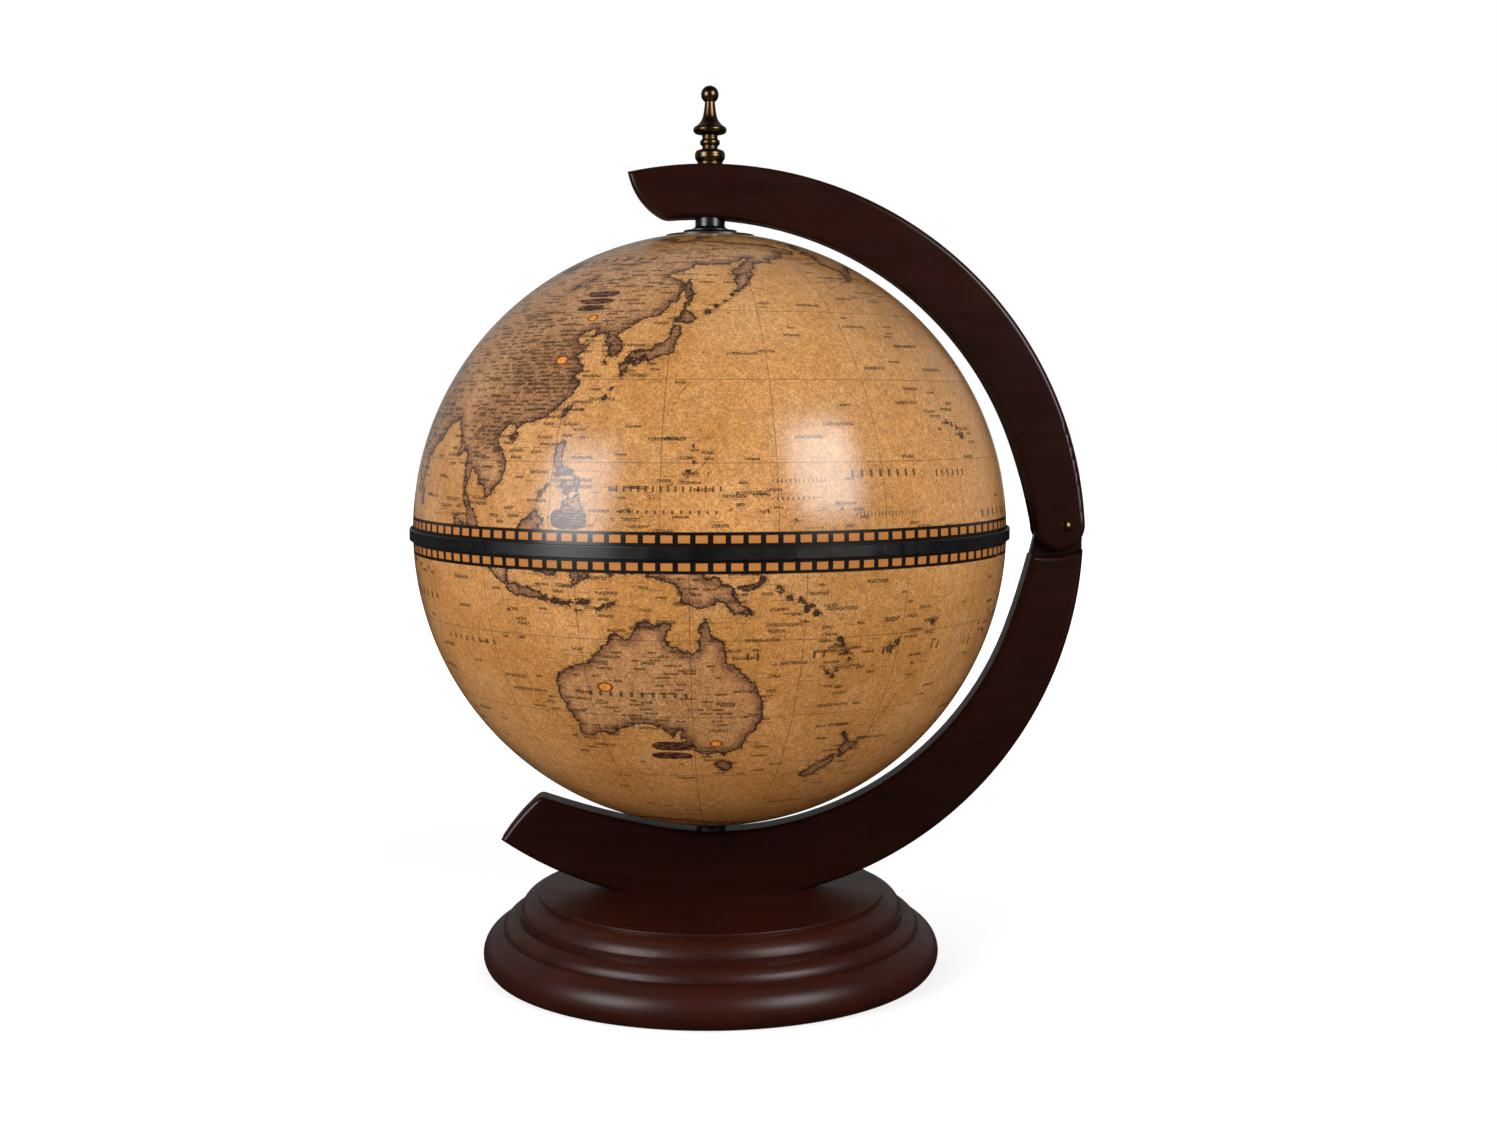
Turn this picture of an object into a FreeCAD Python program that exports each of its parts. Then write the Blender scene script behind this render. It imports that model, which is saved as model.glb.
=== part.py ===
import FreeCAD, Part
import os

import Sketcher

# A table globe that opens at its equator. A turned base carries a C-shaped lower arm; an upper arm is
# hinged to it beside the equator and lifts the upper half of the globe. Each half turns on its own spindle.
#
# Frame: origin at the middle of the base's underside, +Z up, the hinge at +X, the front at -Y. The arms
# and all that turns with them are drawn about the globe's centre and raised to it by their Placement.

# name, millimetres, what it is
sizes = [
    ("globe_radius", 165.0, "outside of the two halves"),
    ("shell_wall", 3.0, "wall of a half"),
    ("lining_wall", 1.6, "wall of the inner bowls"),
    ("lining_gap", 0.2, "between a half and its inner bowl"),
    ("running_gap", 0.06, "round a spindle or pin that turns"),
    ("fixed_gap", 0.05, "round a pin, screw or dowel that doesn't"),
    ("moving_gap", 0.3, "between flat faces that turn past each other"),
    # rim
    ("lip_height", 3.2, "rim ring above and below the equator"),
    ("lip_wall", 1.2, "raised lip of the lower ring"),
    ("lip_gap", 0.7, "between the lip and the upper half"),
    ("lip_round", 0.5, "rounded edge of the lip"),
    ("web_wall", 1.6, "flat part of both rings, on the edge of the halves"),
    ("seam_gap", 0.6, "between the two rings when closed"),
    ("skirt_wall", 1.2, "part of a ring that goes into its half"),
    ("skirt_gap", 0.7, "between that part and the inner bowl"),
    ("skirt_height", 10.0, "of the upper ring, above the equator"),
    ("ledge_drop", 8.0, "from the equator down to the tray's ledge"),
    ("ledge_width", 8.5, "of the ledge"),
    # tray
    ("tray_wall", 2.4, "of the moulded tray"),
    ("tray_gap", 0.5, "round the tray's edge"),
    ("tray_floor_gap", 1.6, "between the nut and the floor of the bottle well"),
    ("bottle_radius", 46.0, "inside of the bottle well"),
    ("glass_radius", 34.0, "inside of a glass cup"),
    ("glass_depth", 60.0, "of a glass cup"),
    ("tray_land", 24.0, "from the tray's edge to a glass cup"),
    ("tray_screw_inset", 3.8, "from the tray's edge to the screws"),
    ("tray_screw_radius", 1.2, "shank"),
    ("tray_screw_head", 2.5, "radius of the head"),
    ("tray_screw_head_height", 1.3, "countersunk"),
    ("tray_screw_length", 3.9, "under the tray's top"),
    # poles
    ("spindle_radius", 3.0, "threaded rod through a pole"),
    ("spindle_past_washer", 4.2, "rod that stands past the washer, in the nut"),
    ("spindle_in_finial", 7.8, "rod that stands out of the upper arm"),
    ("spindle_in_arm", 26.0, "rod in the lower arm"),
    ("hub_radius", 22.0, "bearing pad inside a pole"),
    ("hub_depth", 5.0, "of the pad on its axis"),
    ("hub_hole_gap", 0.5, "between the pad and the inner bowl's hole"),
    ("pole_disc_radius", 24.5, "black disc on a pole"),
    ("pole_disc_wall", 0.8, "its thickness"),
    ("shell_hole_gap", 1.0, "round the spindle, in a half and its disc"),
    ("collar_radius", 8.25, "black spacer between globe and arm"),
    ("flange_radius", 14.75, "its foot on the pole disc"),
    ("flange_edge", 0.35, "thickness of the foot's edge"),
    ("flange_rise", 2.2, "height of the curve from foot to spacer"),
    ("flange_curve", 8.0, "radius of that curve"),
    ("washer_radius", 9.0, "under a nut"),
    ("washer_thickness", 1.6, ""),
    ("nut_radius", 5.77, "to a corner of the hexagon"),
    ("nut_height", 5.0, "of the hexagon"),
    ("nut_dome_radius", 4.6, "cap of the nut"),
    ("nut_dome_height", 2.5, ""),
    ("nut_skirt", 1.1, "straight part under the dome"),
    # arms
    ("arm_thickness", 20.0, "of both arms, front to back"),
    ("arm_round", 3.0, "rounded edges"),
    ("upper_inner_gap", 22.4, "inner edge's radius, over the globe's"),
    ("upper_inner_left", 7.5, "centre of that edge, left of the globe's"),
    ("upper_inner_down", 14.3, "and below it"),
    ("upper_outer_gap", 46.8, "outer edge's radius, over the globe's"),
    ("upper_outer_left", 1.2, "centre of that edge, left of the globe's"),
    ("upper_outer_down", 9.2, "and below it"),
    ("nose_reach", 45.3, "pointed end, left of the axis"),
    ("belly_reach", 25.0, "where the end's curve meets the inner edge"),
    ("nose_curve", 35.0, "radius of the end's curve"),
    ("belly_round", 10.0, "rounded corner under the nose"),
    ("lower_inner_gap", 10.4, "inner edge's radius, over the globe's"),
    ("lower_inner_right", 2.6, "centre of that edge, right of the globe's"),
    ("lower_inner_up", 4.6, "and above it"),
    ("lower_outer_gap", 44.7, "outer edge's radius, over the globe's"),
    ("lower_outer_left", 0.4, "centre of that edge, left of the globe's"),
    ("lower_outer_down", 1.9, "and below it"),
    ("upper_neck_start", 50.0, "where its inner edge straightens to the hinge, above the equator"),
    ("upper_neck_curve", 300.0, "radius from there on"),
    ("lower_neck_start", 54.0, "the same on the lower arm, below the equator"),
    ("lower_neck_curve", 450.0, ""),
    ("tail_start", 30.0, "where the inner edge starts to straighten, left of the axis"),
    ("tail_curve", 470.0, "radius from there on"),
    ("tail_corner", 97.0, "upper corner of the end, left of the axis"),
    ("tail_tip", 118.8, "lower tip of the end, left of the axis"),
    ("tail_end_curve", 120.0, "radius of the end's face"),
    ("tail_round", 5.0, "rounded upper corner"),
    ("arm_seat_drop", 39.2, "from the globe's lowest point to the base"),
    ("spot_depth", 0.35, "flat cut under a collar or the finial"),
    ("spot_gap", 0.35, "round what stands on it"),
    # hinge
    ("pin_offset", 34.3, "pin outside the globe"),
    ("pin_up", 2.3, "pin above the equator"),
    ("barrel_radius", 2.5, "pin"),
    ("barrel_bore", 1.55, "hole in the pin for its screw"),
    ("pin_head_radius", 3.3, "domed heads"),
    ("pin_head_height", 1.4, ""),
    ("pin_end_gap", 0.4, "between the pin's end and the screw's head"),
    ("hinge_screw_radius", 1.5, ""),
    ("hinge_screw_length", 12.0, ""),
    ("tongue_thickness", 7.0, ""),
    ("tongue_radius", 10.0, "round end of the tongue"),
    ("tongue_root", 20.0, "where the tongue starts, below the equator"),
    ("tongue_heel", 0.4, "top of the tongue's inner corner, above the equator"),
    ("cheek_gap", 0.35, "on each side of the tongue"),
    ("cheek_slot", 15.0, "top of the slot, above the pin"),
    ("cheek_end_up", 3.0, "centre of the cheeks' round end, above the equator"),
    ("cheek_ease", 20.0, "eases that end into the inner edge"),
    ("shoulder_inner_drop", 13.6, "lower arm's shoulder at the inner edge"),
    ("shoulder_outer_drop", 10.7, "and at the outer edge"),
    ("shoulder_curve", 55.0, "radius of the hollow between them"),
    # base
    ("base_radius", 129.4, "widest part"),
    ("base_height", 42.0, "with the felt"),
    ("base_top_inset", 31.5, "from the widest part to the top disc"),
    ("base_edge", 0.6, "rounded edge of the top disc"),
    ("base_disc", 1.8, "height of the top disc"),
    ("base_ovolo", 10.2, "quarter round under the disc"),
    ("base_ovolo_height", 8.2, ""),
    ("base_fillet", 0.9, "narrow step under the quarter round"),
    ("base_fillet_height", 3.4, ""),
    ("base_bead_inset", 18.2, "bead, from the widest part"),
    ("base_bead_height", 6.4, ""),
    ("base_bead_width", 6.6, ""),
    ("base_bead_curve", 7.4, "radius of the bead"),
    ("base_quirk", 0.7, "small step between bead and big round"),
    ("base_round", 13.6, "big round, upper part"),
    ("base_round_centre", 8.0, "height of its widest point"),
    ("base_under_curve", 11.1, "big round, lower part"),
    ("base_under_inset", 3.1, "underside's edge, from the widest part"),
    ("felt_inset", 13.4, "from the widest part to the felt"),
    ("felt_thickness", 1.6, ""),
    ("felt_proud", 0.6, "felt below the wood"),
    ("felt_gap", 0.5, "round the felt"),
    ("arm_screw_spread", 38.0, "wood screws, from the axis"),
    ("arm_screw_radius", 2.4, ""),
    ("arm_screw_length", 50.0, "with its head"),
    ("arm_screw_head", 4.8, "radius"),
    ("arm_screw_head_height", 3.0, ""),
    ("arm_screw_sink", 14.0, "depth of its counterbore, from the felt"),
    ("counterbore_gap", 1.2, "round its head"),
    ("dowel_spread", 19.0, "dowels, from the axis"),
    ("dowel_radius", 4.0, ""),
    ("dowel_length", 28.0, ""),
    ("dowel_end_gap", 0.5, ""),
    # finial
    ("finial_foot", 6.95, "radius where it stands on the arm"),
    ("finial_foot_height", 1.7, ""),
    ("finial_ring", 8.3, "radius of the lowest ring"),
    ("finial_ring_up", 5.4, "its height above the arm"),
    ("finial_ring_half", 2.5, "half its thickness"),
    ("finial_waist", 4.3, "radius of the two necks"),
    ("finial_bead", 5.55, "radius of the middle ring"),
    ("finial_bead_up", 12.5, ""),
    ("finial_bead_half", 1.5, ""),
    ("finial_body", 9.3, "radius of the wide ring"),
    ("finial_body_up", 19.4, ""),
    ("finial_body_half", 2.1, ""),
    ("finial_bell", 3.7, "radius where the bell ends"),
    ("finial_bell_up", 27.7, ""),
    ("finial_bell_curve", 9.5, "radius of the bell's hollow"),
    ("finial_neck", 2.8, "radius under the ball"),
    ("finial_neck_curve", 60.0, "radius of the neck's hollow"),
    ("finial_ball", 4.9, "radius of the ball"),
    ("finial_height", 43.6, ""),
]

doc = FreeCAD.newDocument("TableGlobe")
sheet = doc.addObject("Spreadsheet::Sheet", "Sizes")


class Size:
    """A length that knows its value and the sheet expression it comes from."""

    def __init__(self, value, text):
        self.value = value
        self.text = text

    def __add__(self, other):
        other = size(other)
        return Size(self.value + other.value, f"({self.text} + {other.text})")

    def __sub__(self, other):
        other = size(other)
        return Size(self.value - other.value, f"({self.text} - {other.text})")

    def __mul__(self, other):
        other = size(other)
        return Size(self.value * other.value, f"({self.text} * {other.text})")

    def __truediv__(self, other):
        other = size(other)
        return Size(self.value / other.value, f"({self.text} / {other.text})")

    def __neg__(self):
        return Size(-self.value, f"(0 - {self.text})")


def size(number):
    return number if isinstance(number, Size) else Size(float(number), repr(float(number)))


def root(square):
    return Size(square.value ** 0.5, f"sqrt({square.text})")


class Named:
    """The sheet's sizes, by name."""


s = Named()
for row, (name, number, note) in enumerate(sizes, start=1):
    sheet.set(f"A{row}", note)
    sheet.set(f"B{row}", str(number))
    sheet.setAlias(f"B{row}", name)
    setattr(s, name, Size(number, f"Sizes.{name}"))
doc.recompute()


# ---- sketches and features -------------------------------------------------------------------------

def new_body(label):
    body = doc.addObject("PartDesign::Body", label + "_body")
    body.Label = label
    return body


def origin_part(body, role):
    return next(feature for feature in body.Origin.OriginFeatures if feature.Role == role)


def new_sketch(body, name, plane):
    sketch = body.newObject("Sketcher::SketchObject", name)
    sketch.AttachmentSupport = [(origin_part(body, plane), "")]
    sketch.MapMode = "FlatFace"
    return sketch


def tie(sketch, kind, geometry, end, length):
    """Hold one coordinate of a point to a size, or to the axis when it is nought."""
    if length.value == 0.0:
        axis = -2 if kind == "DistanceX" else -1
        sketch.addConstraint(Sketcher.Constraint("PointOnObject", geometry, end, axis))
        return
    index = sketch.addConstraint(Sketcher.Constraint(kind, geometry, end, length.value))
    sketch.setExpression(f"Constraints[{index}]", length.text)


def arc_between(start, end, radius, turn):
    """A circle's arc from start to end; turn is +1 anticlockwise and -1 clockwise, under half a circle."""
    a = FreeCAD.Vector(start[0].value, start[1].value, 0)
    b = FreeCAD.Vector(end[0].value, end[1].value, 0)
    chord = b - a
    rise = (radius.value ** 2 - (chord.Length / 2) ** 2) ** 0.5
    left = FreeCAD.Vector(-chord.y, chord.x, 0).normalize()
    centre = (a + b) * 0.5 + left * rise * turn
    middle = centre + ((a + b) * 0.5 - centre).normalize() * radius.value
    return Part.Arc(a, middle, b)


def outline(body, name, plane, corners, arcs=None):
    """A closed sketch: corners as (across, up); arcs holds {side number: (radius, turn)}."""
    arcs = arcs or {}
    corners = [(size(x), size(y)) for x, y in corners]
    sketch = new_sketch(body, name, plane)
    ends = []
    for i, start in enumerate(corners):
        end = corners[(i + 1) % len(corners)]
        if i in arcs:
            radius, turn = size(arcs[i][0]), arcs[i][1]
            sketch.addGeometry(arc_between(start, end, radius, turn), False)
            ends.append((1, 2) if turn > 0 else (2, 1))
            held = sketch.addConstraint(Sketcher.Constraint("Radius", i, radius.value))
            sketch.setExpression(f"Constraints[{held}]", radius.text)
        else:
            sketch.addGeometry(Part.LineSegment(FreeCAD.Vector(start[0].value, start[1].value, 0),
                                                FreeCAD.Vector(end[0].value, end[1].value, 0)), False)
            ends.append((1, 2))
    for i in range(len(corners)):
        after = (i + 1) % len(corners)
        sketch.addConstraint(Sketcher.Constraint("Coincident", i, ends[i][1], after, ends[after][0]))
    for i, (x, y) in enumerate(corners):
        tie(sketch, "DistanceX", i, ends[i][0], x)
        tie(sketch, "DistanceY", i, ends[i][0], y)
    return sketch


def circle(body, name, height, x, y, radius):
    """A circle parallel to the floor, at a height."""
    x, y, radius = size(x), size(y), size(radius)
    sketch = new_sketch(body, name, "XY_Plane")
    sketch.setExpression("AttachmentOffset.Base.z", size(height).text)
    sketch.addGeometry(Part.Circle(FreeCAD.Vector(x.value, y.value, 0), FreeCAD.Vector(0, 0, 1),
                                   radius.value), False)
    held = sketch.addConstraint(Sketcher.Constraint("Radius", 0, radius.value))
    sketch.setExpression(f"Constraints[{held}]", radius.text)
    tie(sketch, "DistanceX", 0, 3, x)
    tie(sketch, "DistanceY", 0, 3, y)
    return sketch


def revolve(body, sketch):
    turned = body.newObject("PartDesign::Revolution", sketch.Name + "_turned")
    turned.Profile = sketch
    turned.ReferenceAxis = (sketch, ["V_Axis"])
    turned.Angle = 360
    return turned


def extrude(body, kind, sketch, length, symmetric=False, reverse=False):
    feature = body.newObject("PartDesign::" + kind, sketch.Name + "_" + kind.lower())
    feature.Profile = sketch
    feature.setExpression("Length", size(length).text)
    if symmetric:
        feature.SideType = "Symmetric"
    feature.Reversed = reverse
    return feature


def pocket(body, sketch, length, symmetric=False, reverse=False):
    """Cuts, and stops if nothing was cut."""
    doc.recompute()
    before = body.Shape.Volume
    feature = extrude(body, "Pocket", sketch, length, symmetric, reverse)
    doc.recompute()
    if body.Shape.Volume > before - 1e-3:
        raise RuntimeError(f"{feature.Name} cuts nothing")
    return feature


def bore(body, name, radius, low, high):
    """A round hole on the Z axis from low to high."""
    radius, low, high = size(radius), size(low), size(high)
    hole = outline(body, name, "XZ_Plane", [(0, low), (radius, low), (radius, high), (0, high)])
    doc.recompute()
    before = body.Shape.Volume
    groove = body.newObject("PartDesign::Groove", name + "_groove")
    groove.Profile = hole
    groove.ReferenceAxis = (hole, ["V_Axis"])
    groove.Angle = 360
    doc.recompute()
    if body.Shape.Volume > before - 1e-3:
        raise RuntimeError(f"{name} cuts nothing")
    return groove


def fillet(body, name, radius, chosen):
    """Rounds the edges of the body's last feature for which chosen(edge) is true."""
    doc.recompute()
    base = body.Tip
    names = [f"Edge{i}" for i, edge in enumerate(base.Shape.Edges, start=1) if chosen(edge)]
    if not names:
        raise RuntimeError(f"{name} finds no edges")
    rounded = body.newObject("PartDesign::Fillet", name)
    rounded.Base = (base, names)
    rounded.setExpression("Radius", radius.text)
    doc.recompute()
    return rounded


def polar(body, name, originals, count):
    pattern = body.newObject("PartDesign::PolarPattern", name)
    pattern.Originals = originals
    pattern.Axis = (origin_part(body, "Z_Axis"), [""])
    pattern.Angle = 360
    pattern.Occurrences = count
    body.Tip = pattern
    doc.recompute()
    return pattern


def place(thing, height):
    thing.setExpression(".Placement.Base.z", size(height).text)
    return thing


def turned(label, corners, arcs=None, height=0):
    """A body of revolution about the Z axis."""
    body = new_body(label)
    revolve(body, outline(body, label + "_profile", "XZ_Plane", corners, arcs))
    return place(body, height)


# ---- places worked out from the sizes --------------------------------------------------------------

globe_height = s.base_height + s.arm_seat_drop + s.globe_radius
shell_inside = s.globe_radius - s.shell_wall
lining_outside = shell_inside - s.lining_gap
lining_inside = lining_outside - s.lining_wall
skirt_outside = lining_inside - s.skirt_gap
skirt_inside = skirt_outside - s.skirt_wall
lip_inside = s.globe_radius + s.lip_gap
lip_outside = lip_inside + s.lip_wall
hub_face = shell_inside - s.hub_depth
washer_face = hub_face - s.moving_gap - s.washer_thickness
spindle_end = washer_face - s.spindle_past_washer
nut_end = washer_face - s.nut_height - s.nut_skirt - s.nut_dome_height
felt_radius = s.base_radius - s.felt_inset
pole_disc_outside = s.globe_radius + s.fixed_gap + s.pole_disc_wall
flange_face = pole_disc_outside + s.moving_gap
upper_inner = s.globe_radius + s.upper_inner_gap
upper_outer = s.globe_radius + s.upper_outer_gap
lower_inner = s.globe_radius + s.lower_inner_gap
lower_outer = s.globe_radius + s.lower_outer_gap
pin_x = s.globe_radius + s.pin_offset
seat = s.globe_radius + s.arm_seat_drop


def on_circle(radius, distance):
    """The other side of a right triangle: how far a circle reaches at a distance from its centre."""
    return root(radius * radius - distance * distance)


arm_top = on_circle(upper_outer, s.upper_outer_left) - s.upper_outer_down - s.spot_depth
arm_under = on_circle(upper_inner, s.upper_inner_left) - s.upper_inner_down + s.spot_depth
arm_saddle = on_circle(lower_inner, s.lower_inner_right) - s.lower_inner_up + s.spot_depth


# ---- stand -----------------------------------------------------------------------------------------

def make_base():
    edge = s.base_radius - s.base_top_inset
    top = s.base_height
    disc_low = top - s.base_disc
    ovolo_out = edge + s.base_ovolo
    ovolo_low = disc_low - s.base_ovolo_height
    fillet_out = ovolo_out + s.base_fillet
    fillet_low = ovolo_low - s.base_fillet_height
    bead_in = s.base_radius - s.base_bead_inset
    bead_out = bead_in + s.base_bead_width
    bead_low = fillet_low - s.base_bead_height
    round_in = bead_out + s.base_quirk
    recess = felt_radius + s.felt_gap
    under = s.base_radius - s.base_under_inset
    corners = [
        (0, top), (edge - s.base_edge, top), (edge, top - s.base_edge), (edge, disc_low),
        (ovolo_out, ovolo_low), (fillet_out, ovolo_low), (fillet_out, fillet_low), (bead_in, fillet_low),
        (bead_out, bead_low), (round_in, bead_low), (round_in, bead_low - s.base_quirk),
        (s.base_radius, s.base_round_centre), (under, s.felt_proud),
        (recess, s.felt_proud), (recess, s.felt_thickness), (0, s.felt_thickness),
    ]
    arcs = {
        1: (s.base_edge, -1), 3: (s.base_ovolo, -1), 7: (s.base_bead_curve, -1),
        10: (s.base_round, -1), 11: (s.base_under_curve, -1),
    }
    body = turned("base", corners, arcs)
    for side, name in ((-1, "left"), (1, "right")):
        screw_x = s.arm_screw_spread * side
        pocket(body, circle(body, name + "_counterbore", s.felt_thickness, screw_x, 0,
                            s.arm_screw_head + s.counterbore_gap),
               s.arm_screw_sink - s.felt_thickness, reverse=True)
        pocket(body, circle(body, name + "_screw_hole", s.felt_thickness, screw_x, 0,
                            s.arm_screw_radius + s.fixed_gap),
               s.base_height, reverse=True)
        pocket(body, circle(body, name + "_dowel_hole", top, s.dowel_spread * side, 0,
                            s.dowel_radius + s.fixed_gap),
               s.dowel_length / 2 + s.dowel_end_gap)


def make_base_felt():
    felt = doc.addObject("Part::Cylinder", "base_felt_disc")
    felt.Label = "base_felt"
    felt.setExpression("Radius", felt_radius.text)
    felt.setExpression("Height", s.felt_thickness.text)


def cylinder(name, radius, length, x, z):
    part = doc.addObject("Part::Cylinder", name)
    part.setExpression("Radius", size(radius).text)
    part.setExpression("Height", size(length).text)
    part.setExpression(".Placement.Base.x", size(x).text)
    part.setExpression(".Placement.Base.z", size(z).text)
    return part


def compound(label, parts):
    group = doc.addObject("Part::Compound", label + "_group")
    group.Label = label
    group.Links = parts
    return group


def make_arm_screws():
    """Two screws up through the base into the lower arm."""
    screws = []
    head_top = s.arm_screw_sink
    head_low = head_top - s.arm_screw_head_height
    for side, name in ((-1, "left"), (1, "right")):
        x = s.arm_screw_spread * side
        head = cylinder(name + "_screw_head", s.arm_screw_head, s.arm_screw_head_height, x, head_low)
        shank = cylinder(name + "_screw_shank", s.arm_screw_radius, s.arm_screw_length, x, head_low)
        screw = doc.addObject("Part::Fuse", name + "_arm_screw")
        screw.Base = head
        screw.Tool = shank
        screws.append(screw)
    compound("arm_screws", screws)


def make_arm_dowels():
    low = s.base_height - s.dowel_length / 2
    compound("arm_dowels", [cylinder(name + "_dowel", s.dowel_radius, s.dowel_length,
                                     s.dowel_spread * side, low)
                            for side, name in ((-1, "left"), (1, "right"))])


def on_faces(edge):
    """True for the edges of an arm's front and back faces."""
    half = s.arm_thickness.value / 2
    box = edge.BoundBox
    return box.YLength < 1e-3 and abs(abs(box.YMin) - half) < 1e-3


def across_at(x):
    """Picks the edge that runs front to back at a distance from the axis."""
    def chosen(edge):
        box = edge.BoundBox
        return box.XLength < 1e-3 and box.ZLength < 1e-3 and abs(box.XMin - x) < 0.01
    return chosen


def straightened(x, z, radius, height, wider):
    """Where a circle centred at (x, z) goes over to a wider one, and that one's centre."""
    start = (x + on_circle(radius, height - z), size(height))
    share = wider / radius
    return start, (start[0] - (start[0] - x) * share, start[1] - (start[1] - z) * share)


def make_lower_arm():
    """A C-shaped board, sawn flat where it stands on the base, with the hinge's tongue on its end."""
    inner_x, inner_z = s.lower_inner_right, s.lower_inner_up
    outer_x, outer_z = -s.lower_outer_left, -s.lower_outer_down
    neck, centre = straightened(inner_x, inner_z, lower_inner, -s.lower_neck_start, s.lower_neck_curve)
    shoulder_in = (centre[0] + on_circle(s.lower_neck_curve, s.shoulder_inner_drop + centre[1]),
                   -s.shoulder_inner_drop)
    shoulder_out = (outer_x + on_circle(lower_outer, s.shoulder_outer_drop + outer_z),
                    -s.shoulder_outer_drop)
    tip = (-s.tail_tip, outer_z - on_circle(lower_outer, s.tail_tip + outer_x))
    bend_across = s.tail_start + inner_x
    bend_down = on_circle(lower_inner, bend_across)
    bend = (-s.tail_start, inner_z - bend_down)
    tail_x = bend[0] + bend_across * s.tail_curve / lower_inner
    tail_z = bend[1] + bend_down * s.tail_curve / lower_inner
    corner = (-s.tail_corner, tail_z - on_circle(s.tail_curve, s.tail_corner + tail_x))
    body = new_body("lower_arm")
    board = outline(body, "lower_arm_outline", "XZ_Plane",
                    [shoulder_in, shoulder_out, tip, corner, bend, neck],
                    {0: (s.shoulder_curve, 1), 1: (lower_outer, -1), 2: (s.tail_end_curve, -1),
                     3: (s.tail_curve, 1), 4: (lower_inner, 1), 5: (s.lower_neck_curve, 1)})
    extrude(body, "Pad", board, s.arm_thickness, symmetric=True)
    fillet(body, "tail_rounding", s.tail_round, across_at(-s.tail_corner.value))
    fillet(body, "lower_arm_rounding", s.arm_round, on_faces)

    reach = on_circle(lower_outer, seat + outer_z) + s.arm_thickness
    foot = outline(body, "foot_cut", "XZ_Plane",
                   [(-reach, -seat), (reach, -seat), (reach, -lower_outer - s.arm_thickness),
                    (-reach, -lower_outer - s.arm_thickness)])
    pocket(body, foot, s.arm_thickness * 2, symmetric=True)

    left, right = pin_x - s.tongue_radius, pin_x + s.tongue_radius
    root_in = centre[0] + on_circle(s.lower_neck_curve, s.tongue_root + centre[1])
    heel_in = centre[0] + on_circle(s.lower_neck_curve, centre[1] - s.tongue_heel)
    tongue = outline(body, "tongue_outline", "XZ_Plane",
                     [(root_in, -s.tongue_root), (right, -s.tongue_root), (right, s.pin_up),
                      (pin_x, s.pin_up + s.tongue_radius), (left, s.pin_up), (heel_in, s.tongue_heel)],
                     {2: (s.tongue_radius, 1), 3: (s.tongue_radius, 1), 5: (s.lower_neck_curve, -1)})
    extrude(body, "Pad", tongue, s.tongue_thickness, symmetric=True)
    pin_hole(body, "tongue_hole", s.barrel_radius + s.running_gap)
    bore(body, "saddle_flat", s.collar_radius + s.spot_gap, -arm_saddle, -(lower_inner / 2))
    bore(body, "lower_spindle_hole", s.spindle_radius + s.fixed_gap,
         -(arm_saddle + s.spindle_in_arm + s.fixed_gap), -(lower_inner / 2))
    for side, name in ((-1, "left"), (1, "right")):
        pocket(body, circle(body, name + "_pilot", -seat, s.arm_screw_spread * side, 0,
                            s.arm_screw_radius + s.fixed_gap),
               s.arm_screw_sink - s.arm_screw_head_height + s.arm_screw_length - s.base_height
               + s.dowel_end_gap, reverse=True)
        pocket(body, circle(body, name + "_dowel_seat", -seat, s.dowel_spread * side, 0,
                            s.dowel_radius + s.fixed_gap),
               s.dowel_length / 2 + s.dowel_end_gap, reverse=True)
    return place(body, globe_height)


def pin_hole(body, name, radius):
    """The hinge's hole, front to back."""
    sketch = new_sketch(body, name, "XZ_Plane")
    sketch.addGeometry(Part.Circle(FreeCAD.Vector(pin_x.value, s.pin_up.value, 0),
                                   FreeCAD.Vector(0, 0, 1), radius.value), False)
    held = sketch.addConstraint(Sketcher.Constraint("Radius", 0, radius.value))
    sketch.setExpression(f"Constraints[{held}]", radius.text)
    tie(sketch, "DistanceX", 0, 3, pin_x)
    tie(sketch, "DistanceY", 0, 3, s.pin_up)
    pocket(body, sketch, s.arm_thickness * 2, symmetric=True)


# ---- upper arm and hinge ---------------------------------------------------------------------------

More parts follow.
